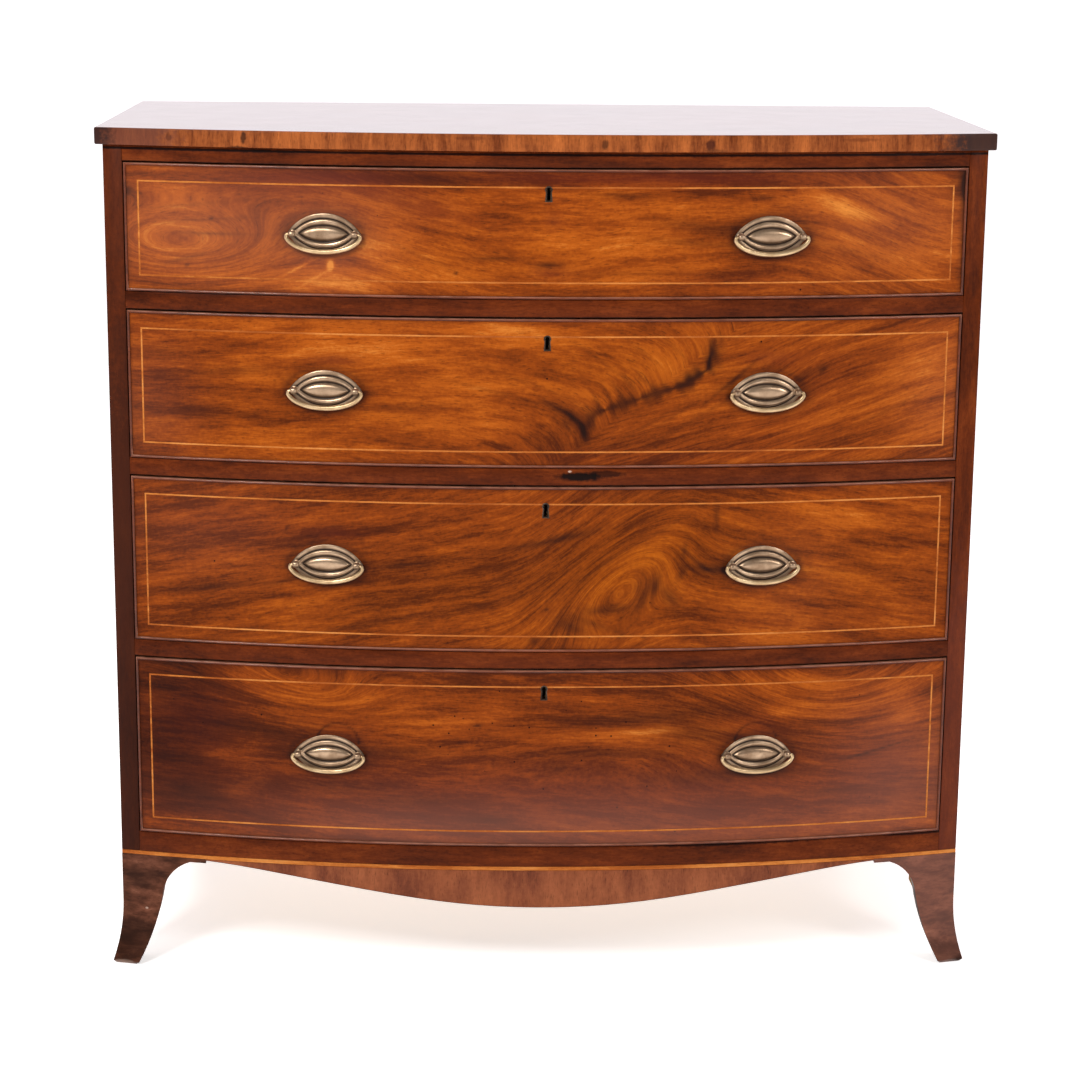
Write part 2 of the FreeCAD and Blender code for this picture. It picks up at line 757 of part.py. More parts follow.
def bail_path():
    """Middle line of the bail from pin to pin, as points and radii."""
    half_length, drop, shoulder = bail_oval
    run = half_length - shoulder
    bow = (run ** 2 + drop ** 2 - shoulder ** 2) / (2 * (drop - shoulder))
    bow_angle = math.asin(run / (bow - shoulder))
    points = []
    for step in range(bail_shoulder_steps):
        angle = (math.pi / 2 - bow_angle) * step / bail_shoulder_steps
        points.append(V(run + shoulder * math.cos(angle), 0, -shoulder * math.sin(angle)))
    for step in range(bail_bow_steps // 2):
        angle = bow_angle * (1 - 2 * step / bail_bow_steps)
        points.append(V(bow * math.sin(angle), 0, bow - drop - bow * math.cos(angle)))
    points = points + [V(0, 0, -drop)] + [V(-point.x, 0, point.z) for point in reversed(points)]
    swell = bail_middle_radius - bail_end_radius
    radii = [bail_end_radius + swell * math.sin(math.pi * index / (len(points) - 1))
             for index in range(len(points))]
    pins = [V(pin_inner, 0, 0), V(pin_outer, 0, 0)]
    other_pins = [V(-pin_outer, 0, 0), V(-pin_inner, 0, 0)]
    return pins + points + other_pins, [pin_radius] * 2 + radii + [pin_radius] * 2


def make_bail():
    """Tapered bail, bent at its shoulders, whose ends turn inward as pins through the knuckles."""
    points, radii = bail_path()
    runs = [(after - before).normalize() for before, after in zip(points, points[1:])]
    rings = []
    for point, radius, arriving, leaving in zip(points, radii, runs[:1] + runs, runs + runs[-1:]):
        half_turn = arriving.getAngle(leaving) / 2
        heading = (arriving + leaving).normalize()
        inward = BACKWARD.cross(heading) * (radius / math.cos(half_turn))
        corners = []
        for side in range(bail_sides):
            angle = 2 * math.pi * (side + 0.5) / bail_sides
            corners.append(point + inward * math.cos(angle) + BACKWARD * (radius * math.sin(angle)))
        rings.append(corners)
    bail = skinned(rings)
    bail.translate(V(0, -knuckle_height, 0))
    return bail


# --- Whole drawers -------------------------------------------------------------------------------
def make_drawer(number):
    """All the pieces of one drawer, by node name."""
    floor, ceiling = openings[number]
    front_z0 = floor + front_bottom_clearance
    front_z1 = ceiling - top_clearance
    side_z0 = floor + runner_clearance
    side_z1 = front_z1 - lining_drop
    bottom_z0 = side_z0 + drawer_bottom_height
    bottom_z1 = bottom_z0 + drawer_bottom_thickness
    inner_radius = bow_radius - front_thickness
    handle_z = front_z0 + handle_heights[number - 1]

    slab = bowed_panel(-drawer_half_width, drawer_half_width, bow_radius, inner_radius,
                       front_z0, front_z1)
    shoulder_y = on_bow(inner_radius, lining_x).y
    ends = box(lining_x, drawer_half_width, shoulder_y, back_y, front_z0, front_z1)
    ends_room = group([ends, mirrored(ends)])
    slab = slab.cut(ends_room)
    lock_space = lock_body(front_z1)
    beads = [bead.cut(ends_room) for bead in make_cockbead(front_z0, front_z1)]
    inlay = keyhole(front_z1, escutcheon_rim, face_y - bead_stand, face_y + escutcheon_depth)
    bottom_x = lining_x + groove_depth
    bottom = bowed_board(-bottom_x, bottom_x, inner_radius + groove_depth, drawer_end_y,
                         bottom_z0, bottom_z1)

    tail_y = on_bow(bow_radius - lap_thickness, drawer_half_width).y
    front_tails = tails(side_z0, side_z1, shoulder_y, tail_y)
    back_z1 = side_z1 - back_drop
    back_slab = box(-drawer_half_width, drawer_half_width, drawer_end_y - lining_thickness,
                    drawer_end_y, bottom_z1, back_z1)
    back_tails = tails(bottom_z1, back_z1, drawer_end_y - lining_thickness, drawer_end_y)
    lining = box(lining_x, drawer_half_width, tail_y, drawer_end_y, side_z0, side_z1)
    lining = lining.cut(slab.cut(front_tails)).cut(back_slab.cut(back_tails)).cut(bottom)
    linings = [lining, mirrored(lining)]
    back = back_slab.cut(group(linings))

    rear_y = face_y + front_thickness
    at_face = V(0, face_y, 0)
    holes = shank_holes()
    holes.translate(at_face)
    cuts = beads + linings + [bottom, lock_space, inlay, keyhole(front_z1, 0, face_y, rear_y)]
    cuts += [on_front(holes, side, handle_z) for side in (-1, 1)]
    front = slab
    for piece in cuts:
        front = front.cut(piece)

    fitting = make_fitting()
    fitting.translate(at_face)
    bail = make_bail()
    bail.translate(at_face)

    name = f"drawer_{number}_"
    return {
        name + "front": front,
        name + "sides": group(linings),
        name + "back": back,
        name + "bottom": bottom,
        name + "cockbead": group([bead.cut(lock_space) for bead in beads]),
        name + "lock": make_lock(front_z1),
        name + "escutcheon": make_escutcheon(front_z1),
        name + "bolt": lock_bolt(front_z1, 0),
        name + "handle_plates": group([on_front(fitting, side, handle_z) for side in (-1, 1)]),
        name + "bail_left": on_front(bail, -1, handle_z),
        name + "bail_right": on_front(bail, 1, handle_z),
    }


def make_nodes():
    """Every piece of the chest, by node name."""
    right_side = make_case_side()
    nodes = {
        "top_board": make_top(),
        "case_side_left": mirrored(right_side),
        "case_side_right": right_side,
        "back_boards": make_back_boards(),
        "case_bottom": make_case_bottom(),
        "top_rails": make_top_rails(),
        "drawer_rails": make_drawer_rails(),
        "drawer_runners": make_runners(),
        "dustboards": make_dustboards(),
        "drawer_stops": make_stops(),
        "base_stringing": make_base_line(),
        "front_apron": make_front_apron(),
        "side_aprons": make_side_aprons(),
        "front_feet": make_front_feet(),
        "back_feet": make_back_feet(),
        "glue_blocks": make_glue_blocks(),
    }
    for number in sorted(openings):
        nodes.update(make_drawer(number))
    return nodes


os.makedirs("parts", exist_ok=True)
for node_name, node_shape in make_nodes().items():
    node_shape.exportStep(f"parts/{node_name}.step")
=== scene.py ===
import json
from math import acos, asin, atan2, cos, exp, hypot, pi, radians, sin, sqrt

import bmesh
import bpy
from mathutils import Matrix, Vector


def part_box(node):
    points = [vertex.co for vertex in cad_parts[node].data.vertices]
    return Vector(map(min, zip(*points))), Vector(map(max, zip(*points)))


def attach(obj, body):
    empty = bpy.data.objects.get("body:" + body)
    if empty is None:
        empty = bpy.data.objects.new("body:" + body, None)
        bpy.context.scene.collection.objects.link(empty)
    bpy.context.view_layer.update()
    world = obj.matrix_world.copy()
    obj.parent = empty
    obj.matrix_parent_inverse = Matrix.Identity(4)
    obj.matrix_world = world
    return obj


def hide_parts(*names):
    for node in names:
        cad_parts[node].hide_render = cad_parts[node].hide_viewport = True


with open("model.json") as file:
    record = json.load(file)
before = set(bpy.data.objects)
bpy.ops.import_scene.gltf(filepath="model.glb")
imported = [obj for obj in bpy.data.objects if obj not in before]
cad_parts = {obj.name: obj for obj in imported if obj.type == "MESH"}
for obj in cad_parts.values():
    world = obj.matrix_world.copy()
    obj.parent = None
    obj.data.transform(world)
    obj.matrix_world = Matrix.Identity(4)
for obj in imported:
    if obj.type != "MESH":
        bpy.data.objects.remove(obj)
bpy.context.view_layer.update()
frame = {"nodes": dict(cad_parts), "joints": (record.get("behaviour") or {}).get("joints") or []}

# Metres throughout, in the part's frame: +X to the chest's right, +Y to the back, +Z up.
MM = 0.001
DRAWERS = (1, 2, 3, 4)
SIDES = (("left", -1), ("right", 1))

# --- Sizes taken from the frame ---
BOW_RISE = 65 * MM
HALF_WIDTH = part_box("case_side_right")[1].x
FACE_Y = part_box("drawer_rails")[0].y
BOW_RADIUS = (HALF_WIDTH ** 2 + BOW_RISE ** 2) / (2 * BOW_RISE)
BOW_CENTRE_Y = FACE_Y + BOW_RADIUS
BEAD_WIDTH = 3 * MM
BEAD_STAND = 2.5 * MM
VENEER = 0.2 * MM             # how far the veneers lie before the solids that carry them
STRING_WIDTH = 1.9 * MM
STRING_INSET = {"side": 16 * MM, "top": 20 * MM, "bottom": 18 * MM}
STRING_STAND = VENEER + 0.06 * MM
VENEER_EDGE = BEAD_WIDTH * 0.8  # where a veneer ends, under the beads
WELD = 0.002 * MM
EASING = 0.8 * MM             # width of the eased edges of dressed pieces
CREASE = 30.0                 # degrees from which an edge of a dressed piece is sharp
SQUARE_ON = 0.9999            # part of a normal along an axis, from which a face looks along it


def drawer_range(number):
    """Half width and lower and upper edge of a drawer's front, cockbeads included."""
    low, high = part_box(f"drawer_{number}_cockbead")
    return high.x, low.z, high.z


def on_bow(x, stand=0.0):
    """Y of the bowed face at x, or of a surface that stands before it."""
    return BOW_CENTRE_Y - sqrt((BOW_RADIUS + stand) ** 2 - x * x)


# --- Mesh helpers ---
def steps(start, end, count):
    return [start + (end - start) * index / count for index in range(count + 1)]


def make_object(name, vertices, faces, crease=40.0):
    """A mesh object, smooth except along edges sharper than the crease angle."""
    mesh = bpy.data.meshes.new(name)
    mesh.from_pydata(vertices, [], faces)
    work = bmesh.new()
    work.from_mesh(mesh)
    bmesh.ops.recalc_face_normals(work, faces=work.faces)
    work.to_mesh(mesh)
    work.free()
    return link_object(name, mesh, crease)


def link_object(name, mesh, crease):
    mesh.polygons.foreach_set("use_smooth", [True] * len(mesh.polygons))
    mesh.set_sharp_from_angle(angle=radians(crease))
    thing = bpy.data.objects.new(name, mesh)
    bpy.context.scene.collection.objects.link(thing)
    return thing


def skin(rings, cap=True):
    """Vertices and faces through closed rings of points with as many points each."""
    size = len(rings[0])
    vertices = [point for ring in rings for point in ring]
    faces = []
    for here in range(0, (len(rings) - 1) * size, size):
        there = here + size
        for index in range(size):
            after = (index + 1) % size
            faces.append((here + index, here + after, there + after, there + index))
    if cap:
        faces.append(tuple(range(size)))
        faces.append(tuple(range((len(rings) - 1) * size, len(rings) * size)))
    return vertices, faces


def carry(thing, name, kind, values):
    """Gives each vertex a value for the materials, a float or a vector."""
    field = "vector" if kind == "FLOAT_VECTOR" else "value"
    thing.data.attributes.new(name, kind, "POINT").data.foreach_set(field, values)


def evaluated_mesh(thing):
    """The object's mesh with its modifiers applied."""
    graph = bpy.context.evaluated_depsgraph_get()
    return bpy.data.meshes.new_from_object(thing.evaluated_get(graph), depsgraph=graph)


def give_material(thing, material):
    thing.data.materials.clear()
    thing.data.materials.append(material)


def finish_piece(thing, body, material, slot, *replaced):
    """Gives a piece its material, hides the nodes that it replaces and hands it to its body. The
    slot is not used.
    """
    give_material(thing, material)
    if replaced:
        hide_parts(*replaced)
    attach(thing, body)


def dress(node, material, slot):
    """Puts a refined copy in place of a node of the case: welded, eased and smooth where curved.

    Its faces keep the node's winding, because the feet's mitres would mislead a new one, and its
    vertices stay inside the node's box.
    """
    mesh = frame["nodes"][node].data.copy()
    work = bmesh.new()
    work.from_mesh(mesh)
    bmesh.ops.remove_doubles(work, verts=work.verts, dist=WELD)
    bmesh.ops.dissolve_limit(work, angle_limit=radians(0.5), verts=work.verts,
                             edges=work.edges)
    work.to_mesh(mesh)
    work.free()
    rough = bpy.data.objects.new("rough_copy", mesh)
    bpy.context.scene.collection.objects.link(rough)
    easing = rough.modifiers.new("easing", "BEVEL")
    easing.width = EASING
    easing.segments = 2
    easing.limit_method = "ANGLE"
    easing.angle_limit = radians(CREASE)
    smoothed = evaluated_mesh(rough)
    bpy.data.objects.remove(rough)
    low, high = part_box(node)
    for vertex in smoothed.vertices:
        vertex.co = [min(max(value, least), most)
                     for value, least, most in zip(vertex.co, low, high)]
    thing = link_object(f"{node}_dressed", smoothed, CREASE)
    # Faces square to an axis are flat, but for those that look to the front, which are bowed.
    for polygon in thing.data.polygons:
        level = max(abs(polygon.normal.x), polygon.normal.y, abs(polygon.normal.z))
        polygon.use_smooth = level < SQUARE_ON
    finish_piece(thing, "case", material, slot, node)


# --- Material helpers ---
class Shader:
    """A material under construction, with short calls for its nodes."""

    def __init__(self, name):
        self.material = bpy.data.materials.new(name)
        self.material.use_nodes = True
        self.tree = self.material.node_tree
        self.tree.nodes.clear()
        self.bsdf = self.add("ShaderNodeBsdfPrincipled")
        output = self.add("ShaderNodeOutputMaterial")
        self.tree.links.new(self.bsdf.outputs[0], output.inputs["Surface"])

    def add(self, kind, **inputs):
        made = self.tree.nodes.new(kind)
        for name, value in inputs.items():
            self.put(made, name.replace("_", " "), value)
        return made

    def put(self, made, socket, value):
        """Sets a socket to a value, or links it to another node's output."""
        target = made.inputs[socket]
        if isinstance(value, bpy.types.NodeSocket):
            self.tree.links.new(value, target)
        else:
            target.default_value = value

    def coordinates(self):
        return self.add("ShaderNodeTexCoord").outputs["Object"]

    def attribute(self, name, output="Vector"):
        made = self.add("ShaderNodeAttribute")
        made.attribute_name = name
        return made.outputs[output]

    def vector_math(self, operation, first, second):
        made = self.add("ShaderNodeVectorMath")
        made.operation = operation
        self.put(made, 0, first)
        self.put(made, 1, second)
        return made.outputs[0]

    def scaled(self, vector, scale):
        return self.vector_math("MULTIPLY", vector, scale)

    def shifted(self, vector, offset):
        return self.vector_math("ADD", vector, offset)

    def split(self, vector):
        return self.add("ShaderNodeSeparateXYZ", Vector=vector).outputs

    def noise(self, vector, scale, detail=2.0, roughness=0.5, coloured=False):
        made = self.add("ShaderNodeTexNoise", Vector=vector, Scale=scale, Detail=detail,
                        Roughness=roughness)
        return made.outputs["Color" if coloured else "Fac"]

    def math(self, operation, first, second=0.0, clamp=False):
        made = self.add("ShaderNodeMath")
        made.operation = operation
        made.use_clamp = clamp
        self.put(made, 0, first)
        self.put(made, 1, second)
        return made.outputs[0]

    def held(self, value):
        """The value, held between 0 and 1."""
        return self.math("MULTIPLY", value, 1.0, True)

    def span(self, value, low, high, to_low=0.0, to_high=1.0):
        """Carries a range of values to another, held at its ends."""
        return self.add("ShaderNodeMapRange", Value=value, From_Min=low, From_Max=high,
                        To_Min=to_low, To_Max=to_high).outputs[0]

    def mixed(self, share, first, second, how="MIX"):
        made = self.add("ShaderNodeMix")
        made.data_type = "RGBA"
        made.blend_type = how
        self.put(made, 0, share)
        self.put(made, 6, first)
        self.put(made, 7, second)
        return made.outputs[2]

    def ramp(self, value, *stops):
        """Colours by value, from (place, colour) stops."""
        made = self.add("ShaderNodeValToRGB", Fac=value)
        elements = made.color_ramp.elements
        while len(elements) < len(stops):
            elements.new(0.5)
        for element, (place, tint) in zip(elements, stops):
            element.position = place
            element.color = tint
        return made.outputs["Color"]

    def facing_up(self):
        """How far the surface faces up, from -1 to 1."""
        return self.split(self.add("ShaderNodeNewGeometry").outputs["Normal"])[2]

    def spot(self, place, ragged, centre, reach):
        """1 round a centre in millimetres, falling to 0 at a ragged rim."""
        offset = self.shifted(place, tuple(-value * MM for value in centre))
        made = self.add("ShaderNodeVectorMath")
        made.operation = "LENGTH"
        self.put(made, 0, self.scaled(offset, tuple(1 / (value * MM) for value in reach)))
        rim = self.math("ADD", made.outputs["Value"], self.math("MULTIPLY", ragged, 0.9))
        return self.span(rim, 1.0, 1.4, 1.0, 0.0)

    def specks(self, place, spacing, radius, share):
        """Small round holes, in a share of the cells of a lattice, all in millimetres."""
        made = self.add("ShaderNodeTexVoronoi", Vector=place, Scale=1 / (spacing * MM))
        chosen = self.math("LESS_THAN", self.split(made.outputs["Color"])[0], share)
        rim = radius / spacing
        near = self.span(made.outputs["Distance"], rim * 0.6, rim * 1.2, 1.0, 0.0)
        return self.math("MULTIPLY", chosen, near)

    def bump(self, height, strength, distance):
        made = self.add("ShaderNodeBump", Height=height, Strength=strength, Distance=distance)
        return made.outputs["Normal"]

    def finish(self, **inputs):
        for name, value in inputs.items():
            self.put(self.bsdf, name.replace("_", " "), value)
        return self.material


def colour(red, green, blue):
    """A linear colour from 0 to 255 screen values."""
    linear = []
    for value in (red, green, blue):
        share = value / 255
        linear.append(share / 12.92 if share <= 0.04045 else ((share + 0.055) / 1.055) ** 2.4)
    return (*linear, 1.0)


PORE = colour(34, 12, 6)
DEEP_RED = colour(84, 28, 18)
DARK_MARK = colour(34, 14, 8)
WORM_HOLE = colour(14, 6, 4)
PAINTED_SHEEN = colour(146, 100, 86)   # painted sheen, a milky haze in place of the polish's reflections
GOLDEN = colour(250, 255, 170)  # where the wood is more olive than red


def shade(name, tones, along, across=190.0, cloud=0.5, streak=0.74, band=0.46, line=0.28,
          mottle=0.24, pores=0.45, polish=0.0, gloss=0.06, roughness=(0.32, 0.5), front=False,
          spots=(), painted_top_highlight=None):
    """Wood whose grain runs along one axis of the object or, on a drawer front, by its figure.

    Across is how fine the grain is. Cloud, streak, band, line and mottle weigh its layers, from
    wide to fine, and pores its dark dashes. A spot is (x, y, z, reach along each of them,
    screen colour, strength), in millimetres. The top colour is a painted highlight, laid in
    patches where surfaces face up.
    """
    wood = Shader(name)
    place = wood.coordinates()
    if front:
        grain = wood.attribute("figure")
    else:
        x, y, z = wood.split(place)
        axes = {"x": x, "y": y, "z": z}
        rest = [axes[key] for key in "xyz" if key != along]
        grain = wood.add("ShaderNodeCombineXYZ", X=axes[along], Y=rest[0], Z=rest[1]).outputs[0]
    for scale, reach in ((9.0, 0.012), (24.0, 0.005), (70.0, 0.002)):
        drift = wood.noise(wood.scaled(grain, (scale * 0.6, scale, scale)), 1.0, 2.0,
                           coloured=True)
        grain = wood.shifted(grain, wood.scaled(wood.shifted(drift, (-0.5, -0.5, -0.5)),
                                                (0.0, reach, reach)))
    layers = (
        (wood.noise(wood.scaled(grain, (7.0, across * 0.3, across * 0.3)), 1.0, 3.0, 0.55), streak),
        (wood.noise(wood.scaled(grain, (26.0, across, across)), 1.0, 3.0, 0.6), band),
        (wood.noise(wood.scaled(grain, (90.0, across * 3.4, across * 3.4)), 1.0, 2.0, 0.6), line),
        (wood.noise(place, 260.0, 3.0, 0.65), mottle),
        (wood.noise(wood.scaled(grain, (7.0, 16.0, 16.0)), 1.0, 3.0), cloud),
    )
    value = 0.5 - sum(weight for layer, weight in layers) / 2
    for layer, weight in layers:
        value = wood.math("ADD", wood.math("MULTIPLY", layer, weight), value)
    dashes = wood.noise(wood.scaled(grain, (110.0, 900.0, 900.0)), 1.0, 2.0)
    pore = wood.span(dashes, 0.60, 0.70)
    if front:
        light, red, mark = wood.split(wood.attribute("tone"))
        value = wood.math("ADD", value, light)
    base = wood.ramp(value, *tones)
    base = wood.mixed(wood.math("MULTIPLY", pore, pores), base, PORE)
    if front:
        painted_sheen, golden, worm = wood.split(wood.attribute("painted_sheen"))
        base = wood.mixed(wood.held(golden), base, GOLDEN, "MULTIPLY")
        base = wood.mixed(wood.held(red), base, DEEP_RED)
        base = wood.mixed(wood.held(mark), base, DARK_MARK)
        base = wood.mixed(wood.specks(place, 9.0, 1.2, worm), base, WORM_HOLE)
        # Painted sheen: a milky colour where the polish would show reflections.
        base = wood.mixed(wood.held(painted_sheen), base, PAINTED_SHEEN)
    # Painted highlight: a lighter colour where the surface faces up, broken into patches by noise.
    if painted_top_highlight:
        highlight_breakup = wood.span(wood.noise(place, 46.0, 3.0, 0.6), 0.36, 0.6, 0.45, 1.0)
        lit = wood.math("MULTIPLY", wood.span(wood.facing_up(), -0.05, 0.45), highlight_breakup)
        base = wood.mixed(lit, base, painted_top_highlight)
    ragged = wood.noise(place, 130.0, 4.0, 0.6)
    for *shape, tint, strength in spots:
        there = wood.spot(place, ragged, shape[:3], shape[3:])
        base = wood.mixed(wood.math("MULTIPLY", there, strength), base, colour(*tint))
    rough = wood.span(wood.noise(place, 22.0, 4.0), 0.35, 0.7, *roughness)
    return wood.finish(Base_Color=base, Roughness=rough, IOR=1.45, Specular_IOR_Level=gloss,
                       Coat_Weight=polish, Coat_Roughness=0.12,
                       Normal=wood.bump(pore, 0.2, -0.1 * MM))


# --- Materials ---
def ramp_stops(*rows):
    """Stops of a colour ramp, from (place, red, green, blue) with screen values."""
    return tuple((place, colour(*screen)) for place, *screen in rows)


MAHOGANY = ramp_stops(
    (0.0, 38, 13, 4), (0.30, 88, 35, 7), (0.50, 132, 58, 11), (0.70, 166, 81, 18),
    (1.0, 208, 126, 50))
MAHOGANY_DARK = ramp_stops(
    (0.0, 30, 10, 4), (0.30, 62, 23, 7), (0.55, 92, 37, 11), (0.80, 120, 54, 18),
    (1.0, 146, 76, 34))
MAHOGANY_EDGE = ramp_stops(
    (0.0, 44, 18, 8), (0.3, 100, 46, 18), (0.5, 136, 71, 32), (0.75, 170, 93, 43),
    (1.0, 200, 124, 66))
MAHOGANY_TOP = ramp_stops(
    (0.0, 44, 16, 8), (0.35, 78, 32, 14), (0.6, 108, 50, 22), (1.0, 146, 80, 40))
MAHOGANY_APRON = ramp_stops(
    (0.0, 60, 30, 20), (0.3, 106, 54, 34), (0.5, 132, 72, 44), (0.75, 154, 88, 54),
    (1.0, 180, 112, 72))
OAK = ramp_stops(
    (0.0, 92, 56, 30), (0.4, 152, 104, 62), (0.7, 180, 131, 86), (1.0, 206, 162, 116))
PINE = ramp_stops(
    (0.0, 100, 72, 42), (0.4, 150, 116, 74), (0.7, 176, 142, 98), (1.0, 200, 168, 124))
MAHOGANY_PAINTED_SHADE = ramp_stops(
    (0.0, 18, 8, 6), (0.5, 38, 19, 13), (1.0, 62, 32, 22))
MAHOGANY_FOOT = ramp_stops(
    (0.0, 30, 16, 11), (0.3, 62, 34, 23), (0.55, 94, 54, 38), (0.8, 122, 74, 54),
    (1.0, 146, 94, 72))
BOXWOOD = ramp_stops(
    (0.0, 120, 58, 20), (0.36, 160, 84, 32), (0.6, 192, 116, 52), (1.0, 214, 150, 86))
BLACK = (12, 7, 6)
PALE = (190, 160, 142)


def painted_shadow_line(height, reach, strength):
    """A painted shadow line round the whole object, as a spot that reaches beyond it sideways."""
    return 0, -200, height, 4000, 4000, reach, BLACK, strength


# Marks on the rails, with painted shadow: a line under the top's overhang and one in the gap above
# each drawer.
RAIL_SPOTS = (
    (38, -255, 633.5, 34, 40, 7, BLACK, 0.95), (70, -255, 637, 30, 40, 5, BLACK, 0.7),
    (-300, -250, 812, 60, 60, 5, BLACK, 0.3), (330, -250, 436, 50, 60, 5, BLACK, 0.4),
    (28, -256, 640, 3, 40, 1.6, PALE, 0.8),
    (250, -250, 806, 60, 60, 8, (84, 26, 12), 0.5),
    painted_shadow_line(1011, 1.9, 0.9),
    (240, -250, 172, 150, 60, 3, BLACK, 0.8), (470, -200, 172, 60, 90, 3, BLACK, 0.8),
) + tuple(painted_shadow_line(drawer_range(number)[2] / MM + 1.2, 1.5, 0.85) for number in DRAWERS)
STILE_SPOTS = (
    # Painted shade: the first spot darkens the left stile toward the bottom, where less light
    # falls.
    (-515, -190, 380, 200, 200, 560, (36, 16, 10), 0.75),
    (-515, -190, 800, 200, 200, 500, (70, 32, 18), 0.4),
    (515, -190, 300, 60, 90, 260, (96, 48, 38), 0.35),
    # Painted shadow under the top's overhang.
    painted_shadow_line(1011, 1.9, 0.9),
)
TOP_SPOTS = (
    (-500, -205, 1024, 90, 72, 80, (96, 54, 42), 0.75),
    (-540, -205, 1022, 40, 60, 80, (44, 28, 26), 0.9),
    (536, -205, 1024, 92, 72, 90, (50, 35, 32), 0.95),
    (-352, -230, 1027, 4, 60, 8, BLACK, 0.75), (-358, -230, 1014, 16, 60, 4, BLACK, 0.7),
    (64, -260, 1024, 5, 60, 7, BLACK, 0.6),
    (-440, -220, 1026, 4, 60, 6, (70, 30, 14), 0.5),
    (186, -255, 1024, 7, 60, 8, (60, 24, 14), 0.85),
    (192, -255, 1016, 16, 60, 4, BLACK, 0.4),
    (360, -220, 1029, 30, 60, 3, (90, 40, 18), 0.5),
    (-90, -250, 1030, 26, 60, 3, (96, 44, 20), 0.5),
    # Painted shadow along the lower edge of the top's front edge.
    painted_shadow_line(1011, 1.2, 0.8),
)
FOOT_SPOTS = (
    (-490, -190, 72, 2.2, 60, 1.7, PALE, 0.95), (-519, -190, 3, 18, 60, 4, PALE, 0.6),
    (518, -190, 3, 14, 60, 3, PALE, 0.4),
    (-505, -190, 30, 60, 80, 36, (26, 12, 8), 0.6),
    (-500, -190, 112, 40, 80, 22, BLACK, 0.3),
    (560, -190, 70, 330, 330, 400, (150, 104, 92), 0.3),
    (-560, -190, 70, 330, 330, 400, (60, 34, 22), 0.3),
    (500, -190, 6, 90, 80, 34, (60, 34, 26), 0.5),
)

drawer_veneer = shade("drawer_veneer", MAHOGANY, "x", front=True)
rail_wood = shade("rail_wood", MAHOGANY_DARK, "x", 160.0, spots=RAIL_SPOTS)
stile_wood = shade("stile_wood", MAHOGANY_DARK, "z", 120.0, spots=STILE_SPOTS)
side_wood = shade("side_wood", MAHOGANY_DARK, "z", 170.0, cloud=0.4, roughness=(0.44, 0.5))
top_wood = shade("top_wood", MAHOGANY_TOP, "x", 110.0, polish=1.0, gloss=0.4, roughness=(0.2, 0.24),
                 streak=0.8, band=0.4, cloud=0.4, pores=0.3)
edge_wood = shade("edge_wood", MAHOGANY_EDGE, "z", 200.0, streak=0.85, band=0.5, gloss=0.08,
                  spots=TOP_SPOTS)
# The beads carry a painted highlight along their upper sides.
bead_wood = shade("bead_wood", MAHOGANY_DARK, "x", 240.0, polish=0.2, gloss=0.2,
                  roughness=(0.3, 0.45), painted_top_highlight=colour(154, 102, 80))
apron_wood = shade("apron_wood", MAHOGANY_APRON, "z", 90.0, streak=0.5, cloud=0.9, gloss=0.1)
foot_wood = shade("foot_wood", MAHOGANY_FOOT, "x", 100.0, cloud=0.4, streak=1.0, band=1.5,
                  mottle=0.12, spots=FOOT_SPOTS)
# Painted shade: a very dark wood for faces that lie in shadow, the apron's underside and the feet's
# inner sides.
painted_shade_edges = shade("painted_shade_edges", MAHOGANY_PAINTED_SHADE, "x", 90.0)
boxwood = shade("boxwood", BOXWOOD, "x", 300.0, pores=0.2, cloud=0.9)
hidden = {"cloud": 0.3, "streak": 0.9}
oak = shade("oak", OAK, "y", 200.0, roughness=(0.55, 0.8), **hidden)
oak_across = shade("oak_across", OAK, "x", 200.0, roughness=(0.55, 0.8), **hidden)
pine, pine_across, pine_deep = (
    shade(name, PINE, along, 210.0, roughness=(0.6, 0.85), **hidden)
    for name, along in (("pine", "z"), ("pine_across", "x"), ("pine_deep", "y")))


def make_metal(name, *screens, metallic=0.9, roughness=(0.4, 0.28), under=0.0):
    """Old metal with stains, dirt where its attribute says, and painted shade on its undersides."""
    bright, dull, dark = (colour(*screen) for screen in screens)
    metal = Shader(name)
    place = metal.coordinates()
    stains = metal.noise(place, 60.0, 3.0, 0.55)
    grime = metal.noise(place, 420.0, 3.0, 0.6)
    base = metal.ramp(stains, (0.35, dull), (0.65, bright))
    base = metal.mixed(metal.span(grime, 0.60, 0.78, 0.0, 0.45), base, dark)
    # Painted shade: faces that look down are darkened towards the dark colour, as if in shadow.
    if under:
        base = metal.mixed(metal.span(metal.facing_up(), -0.4, 0.05, under, 0.0), base, dark)
    dirt = metal.attribute("dirt", "Fac")
    base = metal.mixed(metal.held(dirt), base, colour(34, 20, 12))
    shine = metal.math("SUBTRACT", metallic, metal.math("MULTIPLY", dirt, 0.85), True)
    return metal.finish(Base_Color=base, Metallic=shine,
                        Roughness=metal.span(stains, 0.3, 0.7, *roughness),
                        Specular_IOR_Level=0.15, Normal=metal.bump(grime, 0.08, 0.05 * MM))


brass = make_metal("brass", (194, 164, 134), (150, 122, 96), (74, 54, 38), under=0.7)
bail_brass = make_metal("bail_brass", (222, 192, 148), (186, 154, 114), (104, 80, 56))
dark_brass = make_metal("dark_brass", (92, 76, 62), (56, 45, 36), (24, 18, 14))
iron = make_metal("iron", (34, 30, 27), (24, 21, 19), (12, 10, 9), metallic=0.3,
                  roughness=(0.7, 0.6))
steel = make_metal("steel", (120, 116, 110), (92, 88, 84), (46, 42, 38))


# --- Drawer fronts ---
GRID = 2.5 * MM               # spacing of the veneer sheets' vertices


